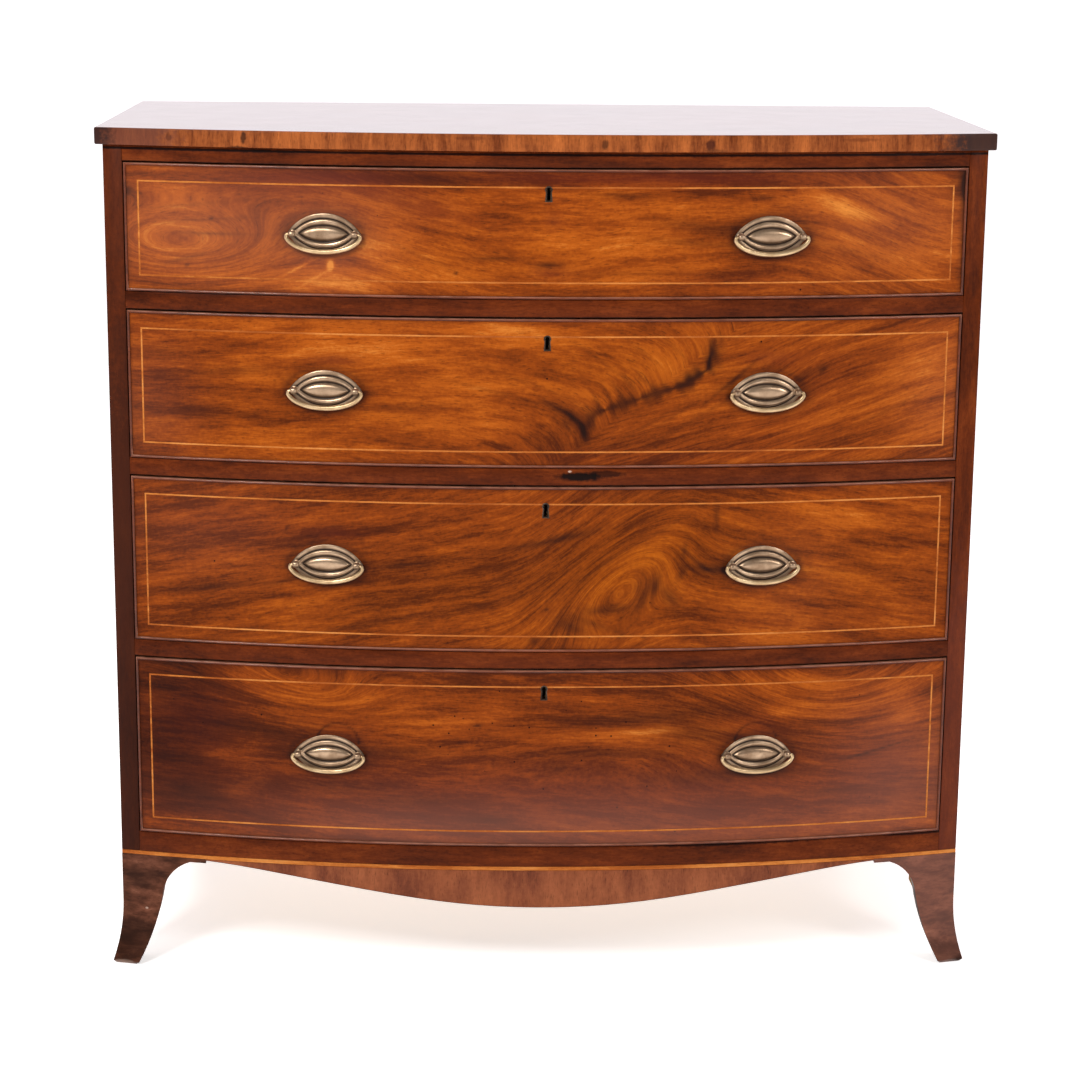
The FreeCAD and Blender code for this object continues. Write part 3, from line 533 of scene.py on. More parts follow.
def bell(x, z, middle_x, middle_z, length, width, tilt=0.0):
    """A smooth hill round a middle, in millimetres, with its long axis tilted."""
    angle = radians(tilt)
    across = x - middle_x
    up = z - middle_z
    first = (across * cos(angle) + up * sin(angle)) / length
    second = (up * cos(angle) - across * sin(angle)) / width
    return exp(-first * first - second * second)


def veneer_sheet(number):
    """The sheet on a drawer front that carries its figure, cut out round the keyhole."""
    half, z0, z1 = drawer_range(number)
    half -= VENEER_EDGE
    z0 += VENEER_EDGE
    z1 -= VENEER_EDGE
    columns = steps(-half, half, round(2 * half / GRID))
    rows = steps(z0, z1, round((z1 - z0) / GRID))
    front = [[(x, on_bow(x, VENEER), z) for x in columns] for z in rows]
    vertices = [point for row in front for point in row]
    vertices += [(x, on_bow(x, -VENEER), z) for row in front for x, y, z in row]
    size = len(columns)
    total = size * len(rows)
    faces = []
    for row in range(len(rows) - 1):
        for column in range(size - 1):
            corner = row * size + column
            quad = (corner, corner + 1, corner + size + 1, corner + size)
            faces.append(quad)
            faces.append(tuple(total + index for index in reversed(quad)))
    rim = list(range(size)) + [size * row + size - 1 for row in range(1, len(rows))]
    rim += [size * (len(rows) - 1) + column for column in range(size - 2, -1, -1)]
    rim += [size * row for row in range(len(rows) - 2, 0, -1)]
    for index, corner in enumerate(rim):
        after = rim[(index + 1) % len(rim)]
        faces.append((corner, after, total + after, total + corner))
    thing = make_object(f"drawer_{number}_veneer", vertices, faces, CREASE)
    cut_keyhole(thing, number)
    return thing


# --- Keyholes ---
KEYHOLE_FLARE = 0.8 * MM
KEYHOLE_HALF_SLOT = 1.4 * MM
KEYHOLE_EYE = 2.3 * MM        # radius
ESCUTCHEON_RIM = 2 * MM       # from the keyhole to the edge of the escutcheon's box
CUT_RIM = 1.9 * MM            # the veneer ends just inside that edge
CUT_DEPTH = 10 * MM
# Rounds of the escutcheon's lip, in millimetres: how far from the keyhole, how far before the
# face, and how dirty it is there.
LIP_RINGS = ((2.1, -3.0, 1), (2.1, 0.25, 0.7), (1.95, 0.4, 0.1), (1.6, 0.45, 0), (1.2, 0.4, 0.5),
             (0.9, 0.3, 1), (0.5, 0.1, 1), (0.0, -0.4, 1), (0.0, -6.0, 1))


def keyhole_outline(number, rim):
    """Outline of a keyhole grown by rim, as (x, z), a round eye over a slot that flares."""
    low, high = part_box(f"drawer_{number}_escutcheon")
    half_height = (high.z - low.z) / 2 - ESCUTCHEON_RIM + rim
    half_slot = KEYHOLE_HALF_SLOT + rim
    radius = KEYHOLE_EYE + rim
    centre = (low.z + high.z) / 2
    eye_z = centre + half_height - radius
    reach = acos(half_slot / radius)
    foot = half_slot + KEYHOLE_FLARE
    points = [(-foot, centre - half_height), (foot, centre - half_height)]
    for angle in steps(-reach, pi + reach, 20):
        points.append((radius * cos(angle), eye_z + radius * sin(angle)))
    return points


def cut_keyhole(thing, number):
    outline = keyhole_outline(number, CUT_RIM)
    cutter = make_object("cutter", *skin([[(x, y, z) for x, z in outline]
                                          for y in (FACE_Y - CUT_DEPTH, FACE_Y + CUT_DEPTH)]))
    cutting = thing.modifiers.new("keyhole", "BOOLEAN")
    cutting.object = cutter
    cutting.solver = "EXACT"
    cut = evaluated_mesh(thing)
    thing.modifiers.clear()
    thing.data = cut
    bpy.data.objects.remove(cutter)


def make_escutcheon(number):
    """Worn inlaid rim round the keyhole, with a rounded lip."""
    rings = []
    dirt = []
    for rim, stand, dirty in LIP_RINGS:
        outline = keyhole_outline(number, rim * MM)
        rings.append([(x, FACE_Y - stand * MM, z) for x, z in outline])
        dirt += [dirty] * len(outline)
    thing = make_object(f"drawer_{number}_escutcheon_rim", *skin(rings, cap=False))
    carry(thing, "dirt", "FLOAT", dirt)
    finish_piece(thing, f"drawer_{number}", dark_brass, "brass", f"drawer_{number}_escutcheon")


# --- Frames that run round a drawer front ---
FRAME_COLUMNS = 72
FRAME_ROWS = 12


def front_frame(name, half, z0, z1, section):
    """A mitred frame on the bow. The section is (distance inward, distance before the face)."""
    stations = []
    for side, start, end in ((-1, z0, z1), (1, z1, z0)):
        stations.append((side * half, start, -side, -side))
        stations += [(x, start, 0, -side)
                     for x in steps(side * half, -side * half, FRAME_COLUMNS)[1:-1]]
        stations.append((-side * half, start, side, -side))
        stations += [(-side * half, z, side, 0) for z in steps(start, end, FRAME_ROWS)[1:-1]]
    rings = []
    for x, z, inward_x, inward_z in stations:
        ring = []
        for inset, stand in section:
            px = x + inset * inward_x
            ring.append((px, on_bow(px, stand), z + inset * inward_z))
        rings.append(ring)
    rings.append(rings[0])
    thing = make_object(name, *skin(rings, cap=False), 50.0)
    work = bmesh.new()
    work.from_mesh(thing.data)
    bmesh.ops.remove_doubles(work, verts=work.verts, dist=0.001 * MM)
    work.to_mesh(thing.data)
    work.free()
    return thing


def make_cockbeads(number):
    half, z0, z1 = drawer_range(number)
    radius = BEAD_WIDTH / 2
    crown = BEAD_STAND - radius
    section = [(0.0, -BEAD_STAND)]
    for angle in steps(pi, 0, 8):
        section.append((radius + radius * cos(angle), crown + radius * sin(angle)))
    section.append((BEAD_WIDTH, -BEAD_STAND))
    thing = front_frame(f"drawer_{number}_beads", half, z0, z1, section)
    finish_piece(thing, f"drawer_{number}", bead_wood, "mahogany", f"drawer_{number}_cockbead")


def make_stringing(number):
    half, z0, z1 = drawer_range(number)
    section = [(0.0, 0.0), (0.0, STRING_STAND), (STRING_WIDTH, STRING_STAND), (STRING_WIDTH, 0.0)]
    thing = front_frame(f"drawer_{number}_string", half - STRING_INSET["side"],
                        z0 + STRING_INSET["bottom"], z1 - STRING_INSET["top"], section)
    cut_keyhole(thing, number)
    finish_piece(thing, f"drawer_{number}", boxwood, "boxwood")


# --- Handles ---
HANDLE_X = 261 * MM
PIVOT_STAND = 7.4 * MM
POST_OFFSET = 36.5 * MM
OVAL_POINTS = 40
ROUND_SIDES = 20
LITTLE_DIRT = 0.15
# Rings of the stamped plate from its back edge to its middle, in millimetres: half length, half
# height, height, how pointed the ends are from 0 to 1, and how dirty it is there.
PLATE_RINGS = (
    (43.6, 23.9, 0.0, 1.0, 1), (43.6, 23.9, 0.8, 1.0, 0.6), (43.2, 23.5, 1.2, 1.0, 0.1),
    (42.0, 22.3, 1.5, 1.0, 0), (40.2, 20.5, 1.4, 1.0, 0), (39.0, 19.3, 1.0, 1.0, 0.4),
    (38.2, 18.4, 0.8, 0.97, 1), (37.2, 17.4, 1.0, 0.95, 1), (36.6, 16.8, 1.9, 0.93, 0.3),
    (35.2, 15.6, 2.6, 0.9, 0), (33.4, 13.9, 2.9, 0.85, 0), (31.6, 12.1, 2.6, 0.78, 0),
    (30.6, 11.1, 1.9, 0.74, 0.3), (29.8, 10.3, 1.0, 0.7, 0.95), (28.6, 9.3, 0.8, 0.65, 1),
    (27.6, 8.6, 1.3, 0.6, 0.7), (26.6, 7.9, 2.2, 0.55, 0.1), (24.4, 6.9, 3.1, 0.5, 0),
    (20.0, 5.5, 3.8, 0.4, 0), (14.0, 3.8, 4.2, 0.3, 0), (8.0, 2.1, 4.4, 0.2, 0),
    (3.0, 0.8, 4.45, 0.1, 0),
)
# Rings of a post, its square shank and its nut, as (height, radius), and those of the knuckle
# that a bail's pin enters, as (place along the pin, radius), in millimetres.
POST_RINGS = ((1.0, 4.6), (2.9, 4.6), (3.2, 4.3), (3.4, 3.2), (5.0, 2.9), (7.4, 2.9))
SHANK_RINGS = ((0.0, 3.3), (-27.2, 3.3))
NUT_RINGS = ((-24.3, 7.5), (-24.6, 7.9), (-27.5, 7.9), (-27.8, 7.5))
KNUCKLE_RINGS = ((-3.7, 2.4), (-3.5, 3.3), (-2.9, 3.8), (-1.6, 4.1), (1.6, 4.1), (2.9, 3.8),
                 (3.5, 3.3), (3.7, 2.4))


def oval_ring(half_length, half_height, height, pointed):
    """A ring between an ellipse and two arcs that meet in points, in the handle's own frame."""
    radius = (half_length ** 2 + half_height ** 2) / (2 * half_height)
    reach = asin(half_length / radius)
    ring = []
    for index in range(2 * OVAL_POINTS):
        sign = 1 if index < OVAL_POINTS else -1
        angle = reach * (1 - 2 * (index % OVAL_POINTS / OVAL_POINTS))
        arc = (radius * sin(angle) * sign,
               sign * (half_height - radius + radius * cos(angle)))
        turn = pi * (index / OVAL_POINTS)
        round_one = (half_length * cos(turn), half_height * sin(turn))
        x = arc[0] * pointed + round_one[0] * (1 - pointed)
        z = arc[1] * pointed + round_one[1] * (1 - pointed)
        ring.append(Vector((x, -height, z)) * MM)
    return ring


def handle_height(number):
    low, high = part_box(f"drawer_{number}_handle_plates")
    return (low.z + high.z) / 2


def handle_place(number, side):
    """Carries a handle's own frame to its place on the bow."""
    joint = next(j for j in frame["joints"] if j["name"] == f"bail_{number}_right_swing")
    turn = atan2(-joint["axis"][1], -joint["axis"][0])
    centre = Vector((0, BOW_CENTRE_Y, 0))
    turning = Matrix.Rotation(side * turn, 4, "Z")
    return (Matrix.Translation(centre) @ turning @ Matrix.Translation(-centre)
            @ Matrix.Translation((0, FACE_Y, handle_height(number))))


def circle(radius, sides, start=0.0):
    """Points round a middle, as (across, up)."""
    angles = [start + 2 * pi * index / sides for index in range(sides)]
    return [(radius * cos(angle), radius * sin(angle)) for angle in angles]


def tube(points, radii):
    """Rings of a round bar along a line of points."""
    rings = []
    for index, (point, radius) in enumerate(zip(points, radii)):
        before = points[max(index - 1, 0)]
        after = points[min(index + 1, len(points) - 1)]
        heading = (after - before).normalized()
        inward = Vector((0, 1, 0)).cross(heading).normalized()
        up = heading.cross(inward)
        rings.append([point + inward * across + up * rise
                      for across, rise in circle(radius, ROUND_SIDES)])
    return rings


def placed(name, parts, place, dirt=()):
    """One object from several (vertices, faces) lists in a handle's frame.

    The first part's vertices take their dirt from the list, the others have a little.
    """
    vertices = []
    faces = []
    for part_vertices, part_faces in parts:
        start = len(vertices)
        vertices += [place @ Vector(point) for point in part_vertices]
        faces += [tuple(start + index for index in face) for face in part_faces]
    thing = make_object(name, vertices, faces)
    carry(thing, "dirt", "FLOAT", list(dirt) + [LITTLE_DIRT] * (len(vertices) - len(dirt)))
    return thing


def plate_part():
    """The stamped plate, with the dirt at each of its vertices."""
    rings = [oval_ring(*ring[:4]) for ring in PLATE_RINGS]
    dirt = []
    for ring, (*_, dirty) in zip(rings, PLATE_RINGS):
        dirt += [dirty + 0.7 * eased((abs(point.x) / MM - 30) / 14) for point in ring]
    return skin(rings), dirt


def standing(centre, rings, sides, start=0.0):
    """A bar square to the front at a centre, from (height, radius) rings."""
    return skin([[Vector((centre.x + across, -height * MM, up))
                  for across, up in circle(radius * MM, sides, start)]
                 for height, radius in rings])


def post_parts(side):
    """Turned post on the plate, round knuckle that the bail's pin enters, shank and nut."""
    centre = Vector((side * POST_OFFSET, -PIVOT_STAND, 0))
    knuckle = [[centre + Vector((along * MM, across, up)) for across, up in circle(radius * MM, 24)]
               for along, radius in KNUCKLE_RINGS]
    return [standing(centre, POST_RINGS, ROUND_SIDES), skin(knuckle),
            standing(centre, SHANK_RINGS, 4, pi / 4),
            standing(centre, NUT_RINGS, 4, pi / 4)]


def bail_part():
    """A bail along the plate's lower edge, thicker at its middle, with its pins inward."""
    half_length, drop, bend = 44.4, 20.2, 0.2
    half = [(33.0, 0.0), (36.0, 0.0), (39.0, 0.0), (41.4, 0.0), (42.7, -0.6), (43.4, -1.8)]
    for angle in steps(bend, pi / 2, 18):
        half.append((half_length * cos(angle), -drop * sin(angle)))
    line = half + [(-x, z) for x, z in reversed(half[:-1])]
    points = [Vector((x, -PIVOT_STAND / MM, z)) * MM for x, z in line]
    radii = [(1.6 if z > -0.5 else 1.9 + 1.1 * min(1.0, -z / drop) ** 0.7) * MM for x, z in line]
    return skin(tube(points, radii))


def make_handles(number):
    for word, side in SIDES:
        place = handle_place(number, side)
        stamped, dirt = plate_part()
        parts = [stamped] + post_parts(-1) + post_parts(1)
        plate = placed(f"drawer_{number}_plate_{word}", parts, place, dirt)
        finish_piece(plate, f"drawer_{number}", brass, "brass", f"drawer_{number}_handle_plates")
        bail = placed(f"drawer_{number}_bail_{word}_round", [bail_part()], place)
        finish_piece(bail, f"bail_{number}_{word}", bail_brass, "brass",
                     f"drawer_{number}_bail_{word}")


# --- Figure of the four fronts ---
# Places on a front are across from its middle and up from its lower edge, in millimetres. A spot
# is (across, up, length, width, strength), and its tilt in degrees comes last where it has one.
def eased(share):
    """A step from 0 to 1 with soft ends."""
    share = min(1.0, max(0.0, share))
    return share * share * (3 - 2 * share)


def figure_1(x, z):
    """Nested ovals at the left, then lines that fall to the right in two stretches."""
    level = z + 100 * bell(x, z, -430, 55, 115, 40)
    level += 44 * eased((x + 330) / 260)
    return level + 60 * eased((x - 290) / 200) + 14 * bell(x, z, 0, 30, 90, 30)


def figure_2(x, z):
    """A crotch: lines fall to a slanting vein from the left and rise from it to the right."""
    past = x - (40 + 1.33 * (z - 28))
    if past < 0:
        return z + 70 * exp(past / 105) - 0.05 * x
    return z + 70 - 0.36 * past - 0.05 * x + 26 * bell(x, z, 262, 95, 60, 40)


def figure_3(x, z):
    """Lines that rise over a slanting nest of loops right of the middle, and fall beyond it."""
    near = min(x, 175)
    rise = 0.16 * near + 84 * eased((near + 70) / 230) - 0.16 * (x - near)
    return z - rise - 84 * bell(x, z, 88, 84, 84, 37, 40)


def figure_4(x, z):
    """Wide arcs at the upper right, smaller ones at the left and a swell between them."""
    level = z + 150 * bell(x, z, 350, 232, 120, 80) + 60 * bell(x, z, -300, 205, 90, 34, -14)
    return level - 40 * bell(x, z, 110, 120, 170, 44) + 0.08 * x


FIGURES = {1: figure_1, 2: figure_2, 3: figure_3, 4: figure_4}

LIGHT_SPOTS = {
    1: ((-425, 64, 85, 42, 0.1), (-250, 18, 115, 13, 0.22, 2), (-205, 60, 42, 26, 0.14, -30),
        (40, 60, 190, 40, 0.1), (-120, 22, 80, 16, 0.12), (350, 103, 42, 11, 0.3, -16),
        (425, 46, 42, 11, 0.24, -20), (465, 80, 22, 60, 0.08), (-253, 37, 3.5, 5, 1.0),
        (-247, 47, 20, 2.5, 0.16, 8), (-290, 33, 24, 1.6, 0.3, 28), (-270, 22, 20, 1.4, 0.2, 30),
        (0, 75, 420, 26, 0.05), (150, 140, 180, 14, -0.08), (-80, 140, 460, 13, -0.14),
        (85, 80, 50, 30, -0.06), (-170, 14, 110, 15, -0.12), (-90, 70, 60, 40, -0.06),
        (50, 85, 50, 30, -0.1)),
    2: ((-60, 163, 95, 11, 0.22), (-150, 120, 140, 30, 0.12, -6), (125, 125, 62, 26, 0.16, 20),
        (450, 113, 50, 42, 0.12, 20), (425, 28, 70, 13, 0.14, 22), (-80, 60, 110, 26, 0.12, -8),
        (-440, 92, 110, 80, -0.1), (300, 60, 90, 30, 0.05, 20), (-330, 20, 120, 14, 0.1),
        (-90, 25, 170, 26, -0.13), (180, 30, 160, 24, -0.06), (-70, 150, 110, 30, 0.09),
        (-450, 20, 80, 30, -0.08), (-200, 100, 60, 30, -0.06)),
    3: ((80, 90, 60, 24, 0.1, 40), (150, 150, 30, 20, 0.08, 40), (350, 103, 120, 70, 0.03),
        (-480, 100, 60, 110, -0.1), (-120, 120, 110, 40, -0.05, 12), (-60, 30, 120, 30, 0.07, 10),
        (280, 30, 120, 24, 0.08, -20), (-330, 60, 130, 12, 0.06, 4), (-420, 20, 90, 12, -0.1),
        (330, 160, 120, 20, 0.06), (0, 190, 500, 12, -0.05), (-70, 95, 400, 130, -0.08),
        (-30, 175, 90, 30, -0.06), (170, 80, 60, 60, -0.08), (-330, 100, 110, 40, -0.09),
        (190, 95, 40, 30, -0.06)),
    4: ((-255, 180, 110, 22, 0.2, -8), (-20, 141, 75, 20, 0.06), (320, 196, 120, 20, 0.12),
        (440, 170, 26, 40, 0.18, 10), (300, 168, 90, 8, 0.12, 14), (-60, 196, 120, 14, 0.04),
        (0, 50, 560, 70, -0.14), (0, 190, 620, 50, -0.12), (-455, 150, 70, 110, -0.22),
        (120, 146, 80, 6, 0.16), (-380, 108, 50, 14, 0.16, 10), (-370, 62, 30, 12, 0.14, 20),
        (480, 30, 60, 60, 0.04), (0, 218, 500, 8, -0.1), (-430, 100, 150, 140, -0.17),
        (-200, 112, 60, 40, -0.08), (-200, 60, 120, 60, -0.08), (-60, 170, 70, 30, 0.04)),
}
RED_SPOTS = {
    1: ((60, 143, 380, 8, 0.3), (-295, 134, 95, 15, 0.62), (-165, 112, 75, 17, 0.42, -15),
        (120, 138, 200, 9, 0.35), (-250, 92, 38, 22, 0.22), (6, 92, 9, 9, 0.35),
        (2, 31, 22, 8, 0.42), (240, 20, 110, 12, 0.2), (410, 80, 40, 30, 0.12)),
    2: ((-250, 126, 32, 7, 0.42), (265, 130, 32, 9, 0.38), (330, 100, 90, 50, 0.16, 30),
        (-450, 90, 50, 80, 0.16), (180, 14, 240, 10, 0.16)),
    3: ((-250, 142, 36, 8, 0.3), (-380, 150, 110, 30, 0.16), (330, 30, 140, 24, 0.12)),
    4: ((0, 55, 560, 58, 0.42), (-420, 150, 70, 50, 0.3), (430, 90, 70, 40, 0.25),
        (255, 140, 40, 22, 0.3), (-250, 135, 38, 22, 0.25)),
}
MARK_SPOTS = {
    1: ((-127, 138, 62, 8, 0.45), (90, 120, 36, 4, 0.5, -2), (0, 40, 16, 3.5, 0.75),
        (-62, 47, 32, 2.6, 0.6), (178, 84, 52, 8, 0.42, -6), (168, 66, 56, 5, 0.36, -4),
        (-390, 70, 42, 2.2, 0.5), (-400, 86, 60, 1.8, 0.36, 4), (-425, 102, 50, 2.0, 0.3, 6),
        (-425, 40, 26, 2.4, 0.45, 14), (492, 132, 12, 22, 0.85), (493, 76, 5, 66, 0.45),
        (-490, 117, 8, 7, 0.75), (252, 118, 12, 3, 0.5), (-392, 88, 2.2, 2, 0.8),
        (-422, 32, 2, 2, 0.8), (-107, 30, 2, 2, 0.8), (-150, 50, 60, 3, 0.2, -24),
        (120, 30, 80, 3, 0.22), (330, 62, 70, 3, 0.2, -14)),
    2: ((-375, 108, 62, 6, 0.34, 5), (-455, 128, 32, 9, 0.26), (-425, 58, 62, 8, 0.22, 4),
        (-175, 70, 62, 5, 0.28, 2), (14, 70, 14, 3.6, 0.6, -20), (31, 60, 13, 4, 0.7, -40),
        (44, 42, 13, 3.4, 0.6, -70), (4, 78, 12, 2.4, 0.5, -14), (24, 50, 10, 2.4, 0.5, -60),
        (72, 86, 12, 2.4, 0.6, -56), (84, 92, 13, 2.2, 0.55, -54), (98, 99, 14, 2.2, 0.55, -50),
        (114, 106, 14, 2, 0.45, -46), (60, 78, 11, 2.2, 0.5, -60), (10, 30, 16, 2.4, 0.4, -60),
        (-4, 22, 14, 2, 0.35, -60), (60, 130, 40, 2, 0.26, -36), (110, 140, 36, 2, 0.24, -40),
        (150, 142, 30, 2, 0.28, -44), (327, 115, 7, 4, 0.75, 30), (296, 102, 32, 3, 0.34, 34),
        (110, 46, 60, 2.4, 0.3, 30), (150, 62, 50, 2.2, 0.28, 32), (210, 96, 40, 2.4, 0.3, 40),
        (230, 112, 30, 2.4, 0.26, 40), (400, 60, 60, 3, 0.22, 24), (-60, 90, 80, 2.4, 0.26, -14),
        (-30, 104, 60, 2, 0.22, -20), (195, 134, 12, 17, 0.42), (34, 56, 24, 16, 0.35, -30),
        (170, 112, 24, 9, 0.3, 30), (178, 60, 60, 3, 0.25, 30)),
    3: ((196, 100, 26, 6, 0.75, -8), (180, 112, 20, 3, 0.5, -40), (150, 66, 18, 8, 0.55, -50),
        (76, 52, 34, 6, 0.6, 6), (30, 32, 20, 9, 0.6, -20), (204, 165, 4, 18, 0.5),
        (22, 140, 50, 5, 0.6, 14), (132, 78, 4, 16, 0.5, -16), (118, 66, 4, 14, 0.5, -20),
        (166, 122, 4, 16, 0.4, -10), (164, 96, 4, 12, 0.4, -30), (60, 34, 34, 4, 0.4, -20),
        (-12, 14, 8, 6, 0.6), (2, 52, 3, 2.4, 0.7), (120, 18, 3, 2, 0.7),
        (-35, 128, 60, 3.4, 0.3, 12), (-400, 70, 62, 4.4, 0.5, 8), (-310, 82, 40, 4, 0.34, 20),
        (-165, 106, 46, 5, 0.5, 8), (-215, 30, 82, 4, 0.34, 12), (480, 138, 11, 1.6, 0.75),
        (128, 84, 6, 14, 0.36, -14), (112, 78, 6, 13, 0.34, -10), (140, 150, 50, 2, 0.24, 30),
        (60, 100, 60, 2, 0.24, 34), (230, 90, 22, 3, 0.4, -30), (-308, 146, 4, 1.4, 0.7, 60),
        (390, 90, 90, 3, 0.18, -6), (-60, 60, 90, 3, 0.18, 16)),
    4: ((-425, 56, 58, 17, 0.48), (-350, 141, 62, 11, 0.34), (-275, 71, 95, 9, 0.38),
        (-150, 56, 72, 7, 0.34), (-70, 33, 32, 7, 0.5), (125, 163, 92, 10, 0.52, 4),
        (185, 141, 52, 12, 0.48, -6), (75, 118, 92, 7, 0.42), (250, 88, 104, 10, 0.44, 2),
        (420, 113, 50, 1.1, 0.95, 14), (392, 105, 24, 2.2, 0.45, 4), (350, 61, 124, 6, 0.28, 4),
        (-170, 118, 52, 8, 0.38), (20, 100, 14, 8, 0.36), (-80, 153, 5, 2.4, 0.8),
        (-430, 100, 40, 8, 0.3)),
}
# The dark vein of the second front, as points with the strength of the mark at each.
VEIN = ((36, 20, 0.2), (46, 48, 0.4), (58, 66, 0.72), (112, 84, 0.78), (165, 100, 0.8),
        (190, 118, 0.7), (194, 150, 0.5))
# Traces of older handles' edges, as (middle, radius, strength).
OLD_HOLES = {3: (((-246, 118), 33, 0.2),), 4: (((-249, 126), 26, 0.5), ((259, 127), 26, 0.42))}
# Where each front carries painted sheen, in place of the polish's reflections.
PAINTED_SHEEN_SPOTS = {
    1: ((-400, 80, 160, 70, 0.22), (-250, 60, 60, 60, 0.1), (400, 90, 110, 60, 0.1)),
    2: ((-480, 60, 60, 80, 0.08), (480, 90, 60, 80, 0.08)),
    3: ((-420, 140, 120, 60, 0.06), (300, 90, 60, 60, 0.04)),
    4: ((100, 20, 420, 55, 0.3), (440, 90, 90, 90, 0.22), (-200, 20, 160, 30, 0.12)),
}
GOLD_SPOTS = {
    1: ((-380, 60, 120, 50, 0.3), (350, 80, 110, 60, 0.3), (-60, 40, 200, 40, 0.25)),
    2: ((-300, 60, 220, 70, 0.3), (100, 120, 160, 50, 0.4), (420, 90, 100, 80, 0.2)),
    3: ((100, 90, 160, 80, 0.7, 30), (-200, 60, 260, 60, 0.5, 10), (330, 80, 140, 90, 0.5)),
    4: ((-260, 180, 120, 30, 0.2), (330, 180, 140, 40, 0.2)),
}
WORM_SPOTS = {
    1: ((0, 70, 600, 90, 0.01),),
    2: ((0, 90, 600, 90, 0.012),),
    3: ((0, 100, 600, 90, 0.014),),
    4: ((0, 110, 600, 110, 0.05), (-110, 130, 80, 60, 0.26), (60, 110, 100, 60, 0.14)),
}


def total_of(spots, x, z):
    return sum(spot[4] * bell(x, z, *spot[:4], *spot[5:]) for spot in spots)


def vein_mark(x, z):
    """Strength of the vein at a place, from the nearest stretch of its line."""
    best = 0.0
    for (x0, z0, first), (x1, z1, second) in zip(VEIN, VEIN[1:]):
        run = (x1 - x0) ** 2 + (z1 - z0) ** 2
        share = min(1.0, max(0.0, ((x - x0) * (x1 - x0) + (z - z0) * (z1 - z0)) / run))
        gap = hypot(x - x0 - share * (x1 - x0), z - z0 - share * (z1 - z0))
        width = 6.5 + 3 * sin(x * 0.16) + 2 * sin(x * 0.41 + z * 0.2)
        best = max(best, (first + share * (second - first)) * exp(-(gap / width) ** 2))
    return best


GRIME_AND_SHADE_OVAL = (46, 26)         # half length and half height of the grime and painted shade round a handle's plate
TRACE_WIDTH = 1.6
EDGE_DARKENING = 5                # how far the darkening reaches in from the edges of a front
FIGURE_SHIFT = 3.7            # metres from one front's grain to the next one's


def tone_of(number, x, z, half, height, handle):
    """Lightness, redness and dark marks of a front's veneer at a place.

    The handle is the place of the right handle's middle. Grime and painted shade lie round both
    handles, the shade heavier below them.
    """
    light = total_of(LIGHT_SPOTS[number], x, z)
    red = total_of(RED_SPOTS[number], x, z)
    mark = total_of(MARK_SPOTS[number], x, z)
    if number == 2:
        mark += vein_mark(x, z)
    for centre, radius, strength in OLD_HOLES.get(number, ()):
        gap = abs(hypot(x - centre[0], z - centre[1]) - radius)
        if z > centre[1]:
            mark += strength * exp(-(gap / TRACE_WIDTH) ** 2)
    # Grime round each plate, with painted shade: the ring is darker below the handle, where its
    # shadow falls.
    rim = hypot((abs(x) - handle[0]) / GRIME_AND_SHADE_OVAL[0], (z - handle[1]) / GRIME_AND_SHADE_OVAL[1])
    low = 0.62 if z < handle[1] else 0.3
    mark += low * exp(-((rim - 0.98) / 0.1) ** 2) + 0.2 * exp(-((rim - 1.0) / 0.35) ** 2)
    # Darker along the edges of a front, next to its beads.
    edge = min(half - abs(x), z, height - z)
    mark += 0.45 * exp(-(edge / EDGE_DARKENING) ** 2)
    return light, red, mark


def paint_front(number):
    thing = veneer_sheet(number)
    half, z0, z1 = drawer_range(number)
    handle = (HANDLE_X / MM, (handle_height(number) - z0) / MM)
    shift = number * FIGURE_SHIFT
    figures = []
    tones = []
    sheen_gold_worm = []
    for vertex in thing.data.vertices:
        x = vertex.co.x / MM
        z = (vertex.co.z - z0) / MM
        figures += [shift + vertex.co.x, FIGURES[number](x, z) * MM, shift]
        tones += tone_of(number, x, z, half / MM, (z1 - z0) / MM, handle)
        # Each vertex carries its painted sheen, golden tint and worm holes.
        sheen_gold_worm += [total_of(spots[number], x, z) for spots in (PAINTED_SHEEN_SPOTS, GOLD_SPOTS, WORM_SPOTS)]
    carry(thing, "figure", "FLOAT_VECTOR", figures)
    carry(thing, "tone", "FLOAT_VECTOR", tones)
    carry(thing, "painted_sheen", "FLOAT_VECTOR", sheen_gold_worm)
    finish_piece(thing, f"drawer_{number}", drawer_veneer, "mahogany")


def second_wood(node, material, chosen):
    """Gives some faces of a dressed node another wood, where chosen(face) says."""
    thing = bpy.data.objects[f"{node}_dressed"]
    thing.data.materials.append(material)
    for polygon in thing.data.polygons:
        polygon.material_index = 1 if chosen(polygon) else 0


# --- The pieces ---
for number in DRAWERS:
    paint_front(number)
    make_cockbeads(number)
    make_stringing(number)
    make_escutcheon(number)
    make_handles(number)

for node, material in (("top_board", top_wood), ("case_side_left", side_wood),
                       ("case_side_right", side_wood), ("top_rails", rail_wood),
                       ("drawer_rails", rail_wood), ("front_apron", apron_wood),
                       ("side_aprons", apron_wood), ("front_feet", foot_wood),
                       ("back_feet", foot_wood)):
    dress(node, material, "mahogany")
dress("base_stringing", boxwood, "boxwood")

# Faces are told apart by their normals, whose parts run from -1 to 1.
LEVEL = 0.97                  # above it, the upper or lower side of the top
SLOPING_DOWN = -0.3           # below it, the underside of the apron
FORWARD = -0.5                # below it, the front edge of a side
FRONT_OR_BACK = 0.93          # above it, the front or back of a foot
INWARD = 0.001                # below it, a side that looks to the chest's middle
second_wood("top_board", edge_wood, lambda face: abs(face.normal.z) < LEVEL)
